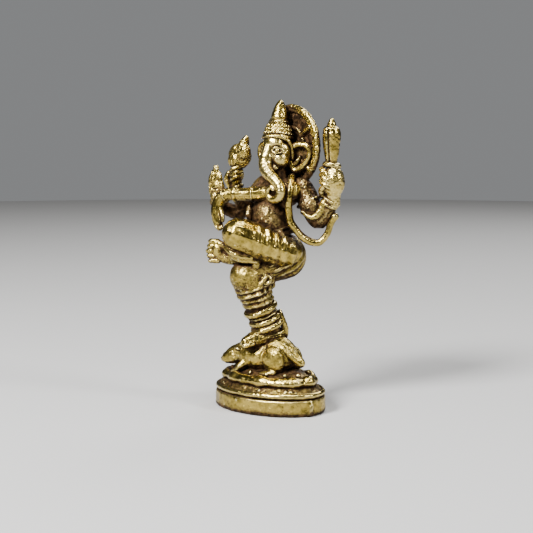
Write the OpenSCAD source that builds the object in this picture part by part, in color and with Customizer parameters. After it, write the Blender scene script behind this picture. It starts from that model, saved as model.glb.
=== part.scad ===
// Pocket figure of the elephant-headed dancer on a mouse, cast in one pour of brass.
// Millimetres, +Z up. The flat face under the oval base rests on z = 0, the figure looks along -Y
// and its own left hand is on +X. The wax pattern is put together from separately modelled parts,
// and every node below is one of those parts. Where two parts meet, one keeps its full form and
// the other is cut back to the same surface, so they lie face to face.

/* [Overall] */
// Height from the table to the tip of the crown
total_height = 43.4; // [32:0.2:60]
// Width of the oval base along its long axis
base_width = 17.6; // [14.6:0.2:22]
// Depth of the oval base, front to back
base_depth = 12.1; // [10:0.1:15]

/* [Base] */
// Height of the plain oval plinth
plinth_height = 2.35; // [1.8:0.05:3.2]
// Height of the rounded bead on the plinth, with the groove under it
bead_height = 0.95; // [0.7:0.05:1.3]
// Height of the sloping ledge between the bead and the upper ring
ledge_height = 0.6; // [0.4:0.05:0.9]
// Height of the upper ring
ring_height = 1.15; // [0.9:0.05:1.6]
// How far the upper ring stands inside the plinth
ring_setback = 1.35; // [1:0.05:1.8]
// Number of pearls on the mound round the mouse
pearl_count = 6; // [4:1:10]

/* [Figure, in hundredths of its height above the base] */
// Thickness of the raised thigh
thigh_thickness = 12; // [10:0.2:14.4]
// Thickness of the standing shin in its middle
shin_thickness = 11.4; // [9.4:0.2:13.8]
// Width of the belly
belly_width = 15.6; // [13:0.2:18.8]
// Width of the head across the cheeks
head_width = 11.6; // [9.6:0.2:14]
// Thickness of the trunk at its root
trunk_thickness = 5; // [4.2:0.1:6]
// Height of each ear
ear_height = 12; // [10:0.2:14.4]
// Diameter of the halo
halo_diameter = 30.6; // [25.4:0.2:36.8]
// Length of the lotus bud above the hand
bud_length = 16.4; // [13.6:0.2:19.8]
// Width of the scarf ribbon
scarf_width = 3.4; // [2.8:0.1:4.2]
// Thickness of the forearms at the wrist
wrist_thickness = 4; // [3.3:0.1:4.8]

/* [Hidden] */
$fn = 64;

brass = [0.72, 0.58, 0.24];
bright = [0.86, 0.73, 0.36];
dark = [0.40, 0.30, 0.14];

oval_steps = 72;
half_width = base_width / 2;
half_depth = base_depth / 2;
bead_z = plinth_height;
ledge_z = bead_z + bead_height;
ring_z = ledge_z + ledge_height;
deck_z = ring_z + ring_height;
mound_inset = ring_setback + 0.9;
// One hundredth of the height from the deck of the base to the tip of the crown
unit = (total_height - deck_z) / 100;

thigh_r = thigh_thickness / 2;
shin_r = shin_thickness / 2;
belly_r = belly_width / 2;
head_r = head_width / 2;
trunk_r = trunk_thickness / 2;
wrist_r = wrist_thickness / 2;
ear_r = ear_height / 2;
halo_r = halo_diameter / 2;
ring_tube = 0.9;

// ---- Measuring -------------------------------------------------------------------------------

// Points round an oval of the given half width and half depth.
function oval(a, b) = [for (i = [0:oval_steps - 1])
    [a * cos(360 * i / oval_steps), b * sin(360 * i / oval_steps)]];
// A point on the way from one point to another.
function between(from, to, share) = from + (to - from) * share;
function unit_of(v) = v / norm(v);
// The direction of a path at one of its points.
function heading(path, i) =
    unit_of(path[min(i + 1, len(path) - 1)] - path[max(i - 1, 0)]);
// A smooth curve through the middle of four points.
function curve_point(a, b, c, d, t) = 0.5 * ((2 * b) + (c - a) * t
    + (2 * a - 5 * b + 4 * c - d) * t * t + (3 * b - a - 3 * c + d) * t * t * t);
// A smooth curve through every point of a list, with the given steps in each gap.
function curve(points, steps) = [for (i = [0:len(points) - 2]) for (s = [0:steps - 1])
    curve_point(points[max(i - 1, 0)], points[i], points[i + 1],
        points[min(i + 2, len(points) - 1)], s / steps),
    points[len(points) - 1]];

// ---- Building forms --------------------------------------------------------------------------

// Everything above the deck, drawn in hundredths and brought to size on the base.
module on_deck() {
    translate([0, 0, deck_z])
        scale(unit)
            children();
}

// Turns a form that stands along +Z so it runs from one point towards another.
module along(from, to) {
    run = to - from;
    translate(from)
        rotate([0, acos(run[2] / norm(run)), atan2(run[1], run[0])])
            children();
}

// A round, tapered form with rounded ends whose end centres lie at the two points.
module limb(from, to, r_from, r_to) {
    length = norm(to - from);
    ends = 5;
    along(from, to)
        rotate_extrude()
            polygon(concat(
                [for (i = [0:ends]) [r_from * sin(90 * i / ends), -r_from * cos(90 * i / ends)]],
                [for (i = [0:ends])
                    [r_to * cos(90 * i / ends), length + r_to * sin(90 * i / ends)]]));
}

// An egg-shaped lump: round about its axis, with its own half length along it.
module lump(centre, axis, half_length, half_width) {
    steps = 12;
    along(centre, centre + axis)
        rotate_extrude()
            polygon([for (i = [0:steps])
                [half_width * sin(180 * i / steps), -half_length * cos(180 * i / steps)]]);
}

// A ring of round wire worn square across the line between two points.
module hoop(from, to, share, r, tube) {
    sides = 10;
    along(between(from, to, share), to)
        rotate_extrude()
            polygon([for (k = [0:sides - 1])
                [r + tube * cos(360 * k / sides), tube * sin(360 * k / sides)]]);
}

// A solid built up from level ovals, each given by its half width, half depth and height.
module oval_stack(levels) {
    top = len(levels) - 1;
    points = [for (level = levels) for (p = oval(level[0], level[1])) [p[0], p[1], level[2]]];
    sides = [for (k = [0:top - 1]) for (i = [0:oval_steps - 1]) let (j = (i + 1) % oval_steps)
        for (f = [[i + k * oval_steps, i + (k + 1) * oval_steps, j + k * oval_steps],
            [j + k * oval_steps, i + (k + 1) * oval_steps, j + (k + 1) * oval_steps]]) f];
    polyhedron(points, concat(sides,
        [[for (i = [0:oval_steps - 1]) i]],
        [[for (i = [oval_steps - 1:-1:0]) i + top * oval_steps]]));
}

// A bar swept along a path. Each step has its own half sizes, the second one along the normal.
module sweep(path, sizes, normal, facets) {
    last = len(path) - 1;
    points = [for (i = [0:last])
        let (t = heading(path, i), side = unit_of(cross(t, normal)), up = cross(t, side))
        for (k = [0:facets - 1])
            path[i] + side * sizes[i][0] * cos(360 * k / facets)
                + up * sizes[i][1] * sin(360 * k / facets)];
    sides = [for (i = [0:last - 1]) for (k = [0:facets - 1]) let (n = (k + 1) % facets)
        for (f = [[i * facets + k, (i + 1) * facets + k, i * facets + n],
            [i * facets + n, (i + 1) * facets + k, (i + 1) * facets + n]]) f];
    polyhedron(points, concat(sides,
        [[for (k = [0:facets - 1]) k]],
        [[for (k = [facets - 1:-1:0]) last * facets + k]]));
}

// ---- Where the figure's joints lie, in hundredths above the deck --------------------------------

mouse_middle = [-2.2, -1.5, 5.8];
mouse_haunch = [5, 0, 6.2];
mouse_nape = [-8.7, -3.4, 6.2];
mouse_snout = [-16.8, -5.9, 3.4];
tail_root = [9.4, 0.8, 8];
tail_tip = [17.2, 1.6, 1.8];

sole_heel = [1.6, 2.2, 13.4];
sole_toe = [-3.4, -10.2, 11.5];
ankle = [-0.6, -0.8, 17.5];
knee = [-3.9, -8, 35.4];
standing_hip = [3.2, 3.2, 41];
seat_middle = [4.1, 3.8, 43];
raised_knee = [-3.5, -13.2, 51.6];
raised_hip = [7.4, 0.4, 46.2];
raised_ankle = [-8.2, -11.2, 43];
raised_instep = [-13.4, -13.2, 45.2];

belly_middle = [1, -0.4, 56.4];
chest_middle = [1.6, 3, 66];
neck_foot = [1.6, 3, 70];
head_middle = [0.9, 2.3, 79.6];
crown_foot = [0.6, 2.5, 85];
crown_tip = [1.4, 4.8, 100];
halo_middle = [3.1, 8.6, 82.9];
halo_turn = -10;
halo_plate = 1.3;
halo_border = 2.2;
halo_relief = 0.9;

front_left_shoulder = [9.2, 1.4, 67.2];
front_left_elbow = [5.4, -2.6, 66.6];
front_left_wrist = [-12.8, -9.2, 65.6];
front_right_shoulder = [-5.9, 2.4, 68.2];
front_right_elbow = [-12.6, -2.1, 58.4];
front_right_wrist = [-21, -6.6, 62];
rear_left_shoulder = [10.8, 5.4, 68.2];
rear_left_elbow = [16.6, 7.6, 56];
rear_left_wrist = [22, 8.8, 64.6];
rear_left_grip = [21.9, 8.8, 71.6];
rear_right_shoulder = [-7.4, 5.2, 69];
rear_right_elbow = [-17.4, 6.2, 59.8];
rear_right_wrist = [-21.2, 5.2, 67.6];
rear_right_grip = [-20.2, 5.2, 72.6];

// The trunk leaves the face, swings to the left over the chest and curls up at its end.
trunk_path = curve([[-0.1, -3.1, 76.9], [1.6, -4.4, 75.2], [4.6, -5.2, 73.1], [7.8, -5.7, 71.1],
    [10, -6, 68.7], [10.4, -6.2, 66.8], [9.1, -6.5, 65.2], [6.8, -6.5, 64.9], [5.3, -6.5, 65.9],
    [5.1, -6.5, 67.5], [6.2, -6.5, 68.5], [7.2, -6.5, 68.3]], 3);
trunk_taper = 0.68;

// The scarf falls from the left shoulder, turns up under the rear elbow and ends in a knob.
scarf_path = curve([[10.2, 2, 70.4], [10.2, -1.2, 66.8], [10.7, -2.2, 62], [11.6, -1.8, 55.4],
    [14.4, 2, 50], [17.8, 5.6, 48.4], [20.2, 7.6, 51.4], [21.4, 8.4, 55.2], [22.6, 8.8, 57.2]], 4);

// The hand of the arm thrown across the chest hangs from its wrist towards the raised foot.
hanging_hand = curve([[-12.2, -9, 65.6], [-15.4, -10.1, 63.7], [-16.3, -10.9, 60.8],
    [-15.6, -11.7, 57.5], [-13.9, -12.2, 54.4], [-12.7, -12.5, 52.6]], 4);

// Outline of an ear as a share of half its height, from the inner edge round the tip and back.
ear_outline = curve([[-0.3, -0.4], [0.05, -0.98], [0.55, -0.62], [0.98, 0.05], [1.05, 0.6],
    [0.7, 0.97], [0.15, 0.92], [-0.3, 0.5]], 4);

// Outline of the raised palm, fingers together, from the wrist round the finger tips and back.
palm_thickness = 2.6;
palm_outline = curve([[-1.6, -7], [-3, -3], [-3.4, 1.4], [-2.2, 5.4], [0, 7.4], [2.2, 5.2],
    [3.4, 1], [2.8, -3.4], [1.2, -7]], 3);

// ---- Base ------------------------------------------------------------------------------------

module base_plinth() {
    color(bright)
        linear_extrude(height = plinth_height)
            polygon(oval(half_width, half_depth));
}

// The bead is drawn in under its lower edge, which leaves a groove round the plinth.
module plinth_bead() {
    groove = 0.25;
    crown = bead_height * 0.55;
    color(bright)
        oval_stack([
            [half_width - groove, half_depth - groove, bead_z],
            [half_width - groove, half_depth - groove, bead_z + groove * 0.6],
            [half_width - groove * 0.2, half_depth - groove * 0.2, bead_z + groove * 1.4],
            [half_width, half_depth, bead_z + crown],
            [half_width - groove * 0.6, half_depth - groove * 0.6, ledge_z - groove * 0.6],
            [half_width - groove * 2, half_depth - groove * 2, ledge_z]]);
}

module base_ledge() {
    foot = 0.55;
    color(dark)
        oval_stack([
            [half_width - foot, half_depth - foot, ledge_z],
            [half_width - ring_setback, half_depth - ring_setback, ledge_z + ledge_height * 0.5],
            [half_width - ring_setback - foot, half_depth - ring_setback - foot, ring_z]]);
}

module base_ring() {
    lip = 0.35;
    a = half_width - ring_setback;
    b = half_depth - ring_setback;
    color(bright)
        oval_stack([
            [a - lip, b - lip, ring_z],
            [a - lip * 0.2, b - lip * 0.2, ring_z + ring_height * 0.22],
            [a, b, ring_z + ring_height * 0.5],
            [a - lip * 0.5, b - lip * 0.5, ring_z + ring_height * 0.85],
            [a - lip * 1.4, b - lip * 1.4, deck_z]]);
}

module mound_form() {
    a = half_width - mound_inset;
    b = half_depth - mound_inset;
    oval_stack([
        [a, b, deck_z],
        [a - 0.8, b - 0.8, deck_z + 0.35],
        [a - 2.2, b - 2, deck_z + 0.7]]);
}

module base_mound() {
    color(dark)
        mound_form();
}

module pearls() {
    pearl_r = 0.34;
    a = half_width - mound_inset - 0.25;
    b = half_depth - mound_inset - 0.25;
    color(bright)
        difference() {
            for (i = [0:pearl_count - 1])
                translate([a * cos(360 * i / pearl_count + 30), b * sin(360 * i / pearl_count + 30),
                        deck_z + pearl_r])
                    sphere(r = pearl_r);
            mound_form();
        }
}

// ---- Mouse -----------------------------------------------------------------------------------

module mouse_body_form() {
    lump(mouse_middle, mouse_nape - mouse_haunch, 9.6, 5.6);
}

module mouse_rump_form() {
    lump(mouse_haunch, [0, 1, 0], 6.4, 5.8);
}

module mouse_body() {
    color(bright)
        difference() {
            on_deck() mouse_body_form();
            mound_form();
        }
}

module mouse_rump() {
    color(bright)
        difference() {
            on_deck() mouse_rump_form();
            on_deck() mouse_body_form();
            mound_form();
        }
}

module mouse_head_form() {
    limb(mouse_nape, mouse_snout, 4, 1.5);
}

module mouse_head() {
    color(bright)
        difference() {
            on_deck() mouse_head_form();
            on_deck() mouse_body_form();
            mound_form();
        }
}

module mouse_ears() {
    color(bright)
        on_deck()
            difference() {
                for (side = [-1, 1])
                    translate([-9.8, -3.8 + side * 3.2, 8.8])
                        sphere(r = 1.4);
                mouse_head_form();
                mouse_body_form();
            }
}

module mouse_forelegs() {
    color(bright)
        difference() {
            on_deck()
                for (side = [-1, 1])
                    limb([-5.4, -2.4 + side * 4, 4.4], [-7.8, -3 + side * 5.6, 0.8], 1.8, 1);
            on_deck() mouse_body_form();
            mound_form();
            translate([0, 0, ring_z]) cylinder(h = ring_height, r = half_width);
        }
}

module mouse_hind_legs() {
    color(bright)
        difference() {
            on_deck()
                for (side = [-1, 1]) {
                    lump([6.6, side * 4.4, 5], [0, 1, 0], 3.2, 4.7);
                    limb([6.6, side * 6.4, 1.2], [2.6, side * 7.2, 0.9], 1.4, 1);
                }
            on_deck() mouse_rump_form();
            on_deck() mouse_body_form();
            mound_form();
            translate([0, 0, ring_z]) cylinder(h = ring_height, r = half_width);
        }
}

module mouse_tail() {
    color(bright)
        difference() {
            on_deck() limb(tail_root, tail_tip, 3, 1.1);
            on_deck() mouse_rump_form();
            mound_form();
        }
}

// ---- Standing leg ----------------------------------------------------------------------------

module standing_foot_form() {
    limb(sole_heel, sole_toe, 3.3, 2);
}

module standing_shin_form() {
    limb(ankle, between(ankle, knee, 0.94), shin_r * 0.94, shin_r * 1.06);
}

module standing_knee_form() {
    translate(knee)
        sphere(r = shin_r * 1.12);
}

module standing_thigh_form() {
    limb(knee, standing_hip, shin_r * 0.96, shin_r * 1.1);
}

module raised_thigh_form() {
    limb(raised_knee, raised_hip, thigh_r * 1.04, thigh_r);
}

module seat_form() {
    lump(seat_middle, [0, 0, 1], 7.6, 7.8);
}

module heel_strap_form() {
    limb([3.2, 1.6, 22.4], [3.9, 3.7, 14.8], 0.9, 1.2);
}

module standing_foot() {
    color(bright)
        on_deck()
            difference() {
                standing_foot_form();
                mouse_body_form();
                mouse_rump_form();
            }
}

module standing_shin() {
    color(bright)
        on_deck()
            difference() {
                standing_shin_form();
                standing_knee_form();
                standing_foot_form();
            }
}

module standing_knee() {
    color(bright)
        on_deck()
            standing_knee_form();
}

module standing_thigh() {
    color(brass)
        on_deck()
            difference() {
                standing_thigh_form();
                standing_knee_form();
                standing_shin_form();
                seat_form();
                raised_thigh_form();
            }
}

module lower_anklet() {
    color(bright)
        on_deck()
            difference() {
                hoop(ankle, knee, 0.04, shin_r * 0.96, ring_tube);
                standing_shin_form();
                standing_foot_form();
                heel_strap_form();
            }
}

module upper_anklet() {
    color(bright)
        on_deck()
            difference() {
                hoop(ankle, knee, 0.33, shin_r, ring_tube);
                standing_shin_form();
            }
}

module heel_strap() {
    color(bright)
        on_deck()
            difference() {
                heel_strap_form();
                standing_shin_form();
                standing_foot_form();
                mouse_rump_form();
            }
}

module knee_hem() {
    color(bright)
        on_deck()
            difference() {
                hoop(ankle, knee, 0.7, shin_r * 1.03, ring_tube);
                standing_shin_form();
                standing_knee_form();
            }
}

// ---- Raised leg and seat ---------------------------------------------------------------------

module raised_shin_form() {
    limb(between(raised_knee, raised_hip, 0.05) - [0, 0, 3], raised_ankle, 3.2, 2.5);
}

module raised_foot_form() {
    lump(raised_instep, [0.5, -0.85, 0], 2.9, 4.2);
    limb(raised_ankle - [-2.2, 0, 1], raised_instep, 2, 2.4);
}

module raised_thigh() {
    color(bright)
        on_deck()
            raised_thigh_form();
}

module raised_shin() {
    color(brass)
        on_deck()
            difference() {
                raised_shin_form();
                raised_thigh_form();
                raised_foot_form();
            }
}

module raised_foot() {
    color(brass)
        on_deck()
            raised_foot_form();
}

module raised_hem() {
    color(bright)
        on_deck()
            difference() {
                hoop(raised_knee - [0.4, 0, 4.4], raised_knee - [3.8, -1.6, 9], 0.1, 3.4, ring_tube);
                raised_thigh_form();
                raised_shin_form();
                raised_foot_form();
            }
}

module seat() {
    color(brass)
        on_deck()
            difference() {
                seat_form();
                raised_thigh_form();
            }
}

module tassel_form() {
    limb([1.6, -8.2, 43.6], [1, -8.6, 40.4], 1, 1.4);
}

module tassel() {
    color(bright)
        on_deck()
            difference() {
                tassel_form();
                raised_thigh_form();
                seat_form();
                standing_thigh_form();
            }
}

module sash_loop() {
    color(bright)
        on_deck()
            difference() {
                hoop([3.2, -6.4, 35.4], [5.8, -9.4, 35.8], 0, 1.4, 0.6);
                standing_thigh_form();
                standing_knee_form();
                standing_shin_form();
                seat_form();
            }
}

// ---- Body ------------------------------------------------------------------------------------

module belly_form() {
    lump(belly_middle, [0, 0, 1], 9.4, belly_r);
}

module chest_form() {
    lump(chest_middle, [1, 0, 0], 9.4, 5.7);
}

module neck_form() {
    limb(neck_foot, head_middle - [0, 0, 4], 3.7, 3.7);
}

module girdle() {
    color(bright)
        on_deck()
            difference() {
                hoop([2.4, 1.6, 50], [1.2, -0.6, 60], 0, belly_r * 0.86, 1.1);
                belly_form();
                seat_form();
                raised_thigh_form();
            }
}

module belly() {
    color(dark)
        on_deck()
            difference() {
                belly_form();
                seat_form();
                raised_thigh_form();
            }
}

module chest() {
    color(dark)
        on_deck()
            difference() {
                chest_form();
                belly_form();
            }
}

module thread_end() {
    color(bright)
        on_deck()
            difference() {
                limb([-6.2, -3.6, 60.4], [-6, -4.4, 57.4], 1.5, 1);
                belly_form();
                chest_form();
            }
}

module neck() {
    color(dark)
        on_deck()
            difference() {
                neck_form();
                chest_form();
                head_form();
            }
}

// ---- Head, trunk and ears --------------------------------------------------------------------

module head_form() {
    lump(head_middle, [0, 0, 1], head_r * 1.16, head_r);
}

module head() {
    color(bright)
        on_deck()
            head_form();
}

module trunk_form() {
    last = len(trunk_path) - 1;
    sizes = [for (i = [0:last]) trunk_r * (1 - trunk_taper * i / last) * [1, 1]];
    sweep(trunk_path, sizes, [0, 1, 0], 12);
}

module trunk() {
    color(bright)
        on_deck()
            difference() {
                trunk_form();
                head_form();
                front_left_arm_form();
            }
}

// The face looks a little to the figure's right, with one eye on each side of it.
module eyes() {
    face_turn = -107.5;
    color(bright)
        on_deck()
            difference() {
                for (side = [-1, 1])
                    translate(head_middle + [head_r * cos(face_turn + side * 56),
                            head_r * sin(face_turn + side * 56), head_r * 0.2] * 0.95)
                        sphere(r = 1.1);
                head_form();
            }
}

// Stands an ear beside the head: one side is the mirror image of the other.
module beside_head(side) {
    translate(head_middle + [side * head_r * 0.98 + 0.5, 2.2, -1.6])
        mirror([side < 0 ? 1 : 0, 0, 0])
            rotate([90, 0, 16])
                children();
}

module ear_rim_form(side) {
    path = [for (p = ear_outline) [p[0] * ear_r, p[1] * ear_r, 0]];
    sizes = [for (p = path) [0.8, 1]];
    beside_head(side)
        sweep(path, sizes, [0, 0, 1], 8);
}

module ear(side) {
    color(dark)
        on_deck()
            difference() {
                beside_head(side)
                    translate([0, 0, -0.5])
                        linear_extrude(height = 1)
                            polygon(ear_outline * ear_r);
                ear_rim_form(side);
                head_form();
            }
}

module ear_rim(side) {
    color(bright)
        on_deck()
            difference() {
                ear_rim_form(side);
                head_form();
            }
}

module left_ear() {
    ear(1);
}

module right_ear() {
    ear(-1);
}

module left_ear_rim() {
    ear_rim(1);
}

module right_ear_rim() {
    ear_rim(-1);
}

// ---- Crown and halo --------------------------------------------------------------------------

module crown_band_form() {
    hoop(crown_foot, crown_tip, 0, head_r * 0.84, 1.1);
}

module crown_cap_form() {
    along(crown_foot, crown_tip)
        rotate_extrude()
            polygon([[0, 0], [head_r * 0.84, 0], [head_r * 0.92, 1.6], [head_r * 0.84, 3.6],
                [head_r * 0.66, 5.4], [head_r * 0.52, 6.4], [0, 6.4]]);
}

module crown_band() {
    color(bright)
        on_deck()
            difference() {
                crown_band_form();
                head_form();
            }
}

module crown_cap() {
    color(bright)
        on_deck()
            difference() {
                crown_cap_form();
                crown_band_form();
                head_form();
            }
}

module crown_finial() {
    rise = norm(crown_tip - crown_foot);
    color(bright)
        on_deck()
            along(crown_foot, crown_tip)
                rotate_extrude()
                    polygon([[0, 6.4], [head_r * 0.5, 6.4], [head_r * 0.56, 7.4],
                        [head_r * 0.5, 9.2], [head_r * 0.38, 12], [head_r * 0.2, rise - 1],
                        [head_r * 0.1, rise], [0, rise]]);
}

// Brings a form drawn flat, facing +Z, to the halo's place behind the head.
module halo_place() {
    translate(halo_middle)
        rotate([90, 0, halo_turn])
            children();
}

module halo_disc() {
    color(dark)
        on_deck()
            difference() {
                halo_place()
                    translate([0, 0, -halo_plate])
                        cylinder(h = halo_plate, r = halo_r - halo_border);
                head_form();
                neck_form();
            }
}

module halo_rim() {
    inner = halo_r - halo_border;
    color(bright)
        on_deck()
            halo_place()
                rotate_extrude()
                    polygon([[inner, -halo_plate], [halo_r - 0.4, -halo_plate],
                        [halo_r, -halo_plate * 0.5], [halo_r, halo_relief * 0.4],
                        [halo_r - 0.6, halo_relief], [inner + 0.4, halo_relief],
                        [inner, halo_relief * 0.5]]);
}

// An inner ring round the head with five flat rays running out to the rim.
module halo_spokes() {
    hub = halo_r * 0.46;
    rays = 5;
    ray_width = 1.8;
    inner = halo_r - halo_border;
    color(bright)
        on_deck()
            difference() {
                halo_place() {
                    difference() {
                        cylinder(h = halo_relief, r = hub);
                        translate([0, 0, -halo_relief])
                            cylinder(h = halo_relief * 3, r = hub - 1.4);
                    }
                    for (i = [0:rays - 1])
                        rotate([0, 0, 18 + 360 * i / rays])
                            translate([hub - 0.7, -ray_width / 2, 0])
                                cube([inner - hub + 0.6, ray_width, halo_relief]);
                }
                head_form();
                crown_cap_form();
                crown_band_form();
                neck_form();
            }
}

// ---- Arms, hands and what they hold ------------------------------------------------------------

// An upper arm and a forearm that share a rounded elbow. The last three radii are shares of the
// wrist's: at the elbow above and below it, and at the wrist.
module arm_form(shoulder, elbow, wrist, r_shoulder, shares = [1.3, 1.25, 1]) {
    limb(shoulder, elbow, r_shoulder, wrist_r * shares[0]);
    limb(elbow, wrist, wrist_r * shares[1], wrist_r * shares[2]);
}

module front_left_arm_form() {
    arm_form(front_left_shoulder, front_left_elbow, front_left_wrist, 3.2);
}

module front_right_arm_form() {
    arm_form(front_right_shoulder, front_right_elbow, front_right_wrist, 3);
}

module rear_left_arm_form() {
    arm_form(rear_left_shoulder, rear_left_elbow, rear_left_wrist, 3.9, [1.4, 1.35, 1.1]);
}

module rear_right_arm_form() {
    arm_form(rear_right_shoulder, rear_right_elbow, rear_right_wrist, 3.2);
}

module front_left_arm() {
    color(bright)
        on_deck()
            difference() {
                front_left_arm_form();
                chest_form();
                belly_form();
            }
}

module front_left_hand() {
    last = len(hanging_hand) - 1;
    sizes = [for (i = [0:last]) wrist_r * (i == 0 ? 0.7 : 0.98 - 0.4 * i / last) * [1, 1]];
    color(bright)
        on_deck()
            difference() {
                sweep(hanging_hand, sizes, [-0.5, 0.85, 0], 12);
                front_left_arm_form();
            }
}

module front_right_arm() {
    color(dark)
        on_deck()
            difference() {
                front_right_arm_form();
                chest_form();
                belly_form();
            }
}

module front_right_hand() {
    color(bright)
        on_deck()
            difference() {
                translate([-20.8, -6.4, 68.4])
                    rotate([90, 0, 10])
                        linear_extrude(height = palm_thickness, center = true)
                            polygon(palm_outline);
                front_right_arm_form();
            }
}

module rear_left_arm() {
    color(dark)
        on_deck()
            difference() {
                rear_left_arm_form();
                chest_form();
                belly_form();
                front_left_arm_form();
            }
}

module rear_left_hand_form() {
    lump(rear_left_grip, [0, 0, 1], 5.8, 3.6);
}

module rear_left_hand() {
    color(bright)
        on_deck()
            difference() {
                rear_left_hand_form();
                rear_left_arm_form();
            }
}

// Two bangles at the wrist and one band on the upper arm.
module arm_bands(shoulder, elbow, wrist, fullness = 1) {
    hoop(elbow, wrist, 0.68, wrist_r * 1.05 * fullness, 0.75);
    hoop(elbow, wrist, 0.88, wrist_r * 1.05 * fullness, 0.75);
    hoop(shoulder, elbow, 0.55, wrist_r * 1.46 * fullness, 0.75);
}

module rear_left_bands() {
    color(bright)
        on_deck()
            difference() {
                arm_bands(rear_left_shoulder, rear_left_elbow, rear_left_wrist, 1.095);
                rear_left_arm_form();
                rear_left_hand_form();
            }
}

module lotus_bud() {
    foot = rear_left_grip + [-0.5, 0, 4.4];
    color(bright)
        on_deck()
            difference() {
                translate(foot)
                    rotate_extrude()
                        polygon([[0, 0], [1.5, 0], [1.9, bud_length * 0.18],
                            [3.2, bud_length * 0.42], [3.4, bud_length * 0.6],
                            [2.8, bud_length * 0.8], [1.7, bud_length * 0.88],
                            [0.8, bud_length * 0.98], [0, bud_length]]);
                rear_left_hand_form();
            }
}

module rear_right_arm() {
    color(dark)
        on_deck()
            difference() {
                rear_right_arm_form();
                chest_form();
                belly_form();
                front_right_arm_form();
            }
}

module rear_right_hand_form() {
    lump(rear_right_grip, [0, 0, 1], 3.8, 2.7);
}

module rear_right_hand() {
    color(bright)
        on_deck()
            difference() {
                rear_right_hand_form();
                rear_right_arm_form();
            }
}

module rear_right_bands() {
    color(bright)
        on_deck()
            difference() {
                arm_bands(rear_right_shoulder, rear_right_elbow, rear_right_wrist);
                rear_right_arm_form();
                rear_right_hand_form();
            }
}

// A short shaft, a broad blade and a pointed end above it.
module axe() {
    color(bright)
        on_deck()
            difference() {
                union() {
                    limb(rear_right_grip, [-19.4, 5.4, 78], 1, 1);
                    lump([-19.3, 5.5, 79.8], [0, 1, 0], 1.5, 4.3);
                    limb([-17.4, 5.6, 81.4], [-16, 5.7, 85.4], 2.2, 0.7);
                }
                rear_right_hand_form();
            }
}

module scarf() {
    last = len(scarf_path) - 1;
    sizes = [for (i = [0:last]) scarf_width * [0.3, 0.5]];
    color(bright)
        on_deck()
            difference() {
                sweep(scarf_path, sizes, [0.64, -0.76, 0], 10);
                chest_form();
                belly_form();
                front_left_arm_form();
                rear_left_arm_form();
                seat_form();
                ear_rim_form(1);
            }
}

// ---- One line for each node ------------------------------------------------------------------

base_plinth();
plinth_bead();
base_ledge();
base_ring();
base_mound();
pearls();
mouse_body();
mouse_rump();
mouse_head();
mouse_ears();
mouse_forelegs();
mouse_hind_legs();
mouse_tail();
standing_foot();
standing_shin();
standing_knee();
standing_thigh();
lower_anklet();
upper_anklet();
heel_strap();
knee_hem();
raised_thigh();
raised_shin();
raised_foot();
raised_hem();
seat();
tassel();
sash_loop();
girdle();
belly();
chest();
thread_end();
neck();
head();
trunk();
eyes();
left_ear();
right_ear();
left_ear_rim();
right_ear_rim();
crown_band();
crown_cap();
crown_finial();
halo_disc();
halo_rim();
halo_spokes();
front_left_arm();
front_left_hand();
front_right_arm();
front_right_hand();
rear_left_arm();
rear_left_hand();
rear_left_bands();
lotus_bud();
rear_right_arm();
rear_right_hand();
rear_right_bands();
axe();
scarf();
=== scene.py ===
# %% [markdown]
# # A dancing elephant-headed figure in cast brass
# This pocket figure is one pour of brass from a wax pattern: an oval base, a mouse, and a dancer
# with four arms who stands on it on one leg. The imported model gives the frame. Every form is
# built again here with the softness, folds and pitted skin of a small casting.

import math

import bpy
import numpy as np
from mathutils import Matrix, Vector


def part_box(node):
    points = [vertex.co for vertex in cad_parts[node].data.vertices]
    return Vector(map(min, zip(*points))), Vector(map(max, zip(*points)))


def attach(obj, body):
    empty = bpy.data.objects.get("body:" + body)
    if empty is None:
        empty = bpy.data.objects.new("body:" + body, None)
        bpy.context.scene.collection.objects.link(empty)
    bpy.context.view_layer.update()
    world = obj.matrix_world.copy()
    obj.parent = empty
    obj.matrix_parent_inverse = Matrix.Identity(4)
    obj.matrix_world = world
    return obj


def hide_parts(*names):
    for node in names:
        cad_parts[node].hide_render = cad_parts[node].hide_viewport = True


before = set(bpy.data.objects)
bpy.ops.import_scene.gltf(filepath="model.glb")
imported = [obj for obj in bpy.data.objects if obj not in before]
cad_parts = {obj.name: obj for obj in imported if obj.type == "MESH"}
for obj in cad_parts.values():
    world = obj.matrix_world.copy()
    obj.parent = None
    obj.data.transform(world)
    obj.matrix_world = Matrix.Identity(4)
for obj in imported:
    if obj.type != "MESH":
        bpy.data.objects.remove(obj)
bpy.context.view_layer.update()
print("packed nodes:", len(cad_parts))

# %% [markdown]
# ## Measures
# The figure is 4 cm high, and Blender's tools merge points that lie closer than a tenth of a
# millimetre. So each piece is modelled with one unit to the millimetre and brought to metres
# when it is finished. Places on the figure are given in hundredths of its height above the base,
# which a maker of wax patterns would call the figure's own scale.

# %% Measures
MM = 0.001
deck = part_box("base_ring")[1][2] / MM
crown_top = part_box("crown_finial")[1][2] / MM
share = (crown_top - deck) / 100
RIGHTWARDS = np.array([0.766, 0.643, 0.0])      # level, across the three-quarter view
FACING = np.array([0.643, -0.766, 0.0])         # level, towards the viewer of that view


def spot(x, y, z):
    """A point given in hundredths above the deck, in millimetres."""
    return Vector((x * share, y * share, deck + z * share))


def box_mm(node):
    """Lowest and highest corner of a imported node, in millimetres."""
    low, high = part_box(node)
    return Vector(low) / MM, Vector(high) / MM


print("deck %.2f mm, one hundredth %.3f mm" % (deck, share))

# %% [markdown]
# ## A few hand tools
# Wax is worked by rolling rods, pressing balls into lumps, turning profiles and melting the bits
# together. The helpers below do the same: `rod` is a bevelled curve made into a mesh, `lump` is a
# ball pulled out of round, `turned` is a disc extruded upwards step by step, and `melt` joins
# bits and remeshes them into one closed skin with soft joints.

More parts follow.
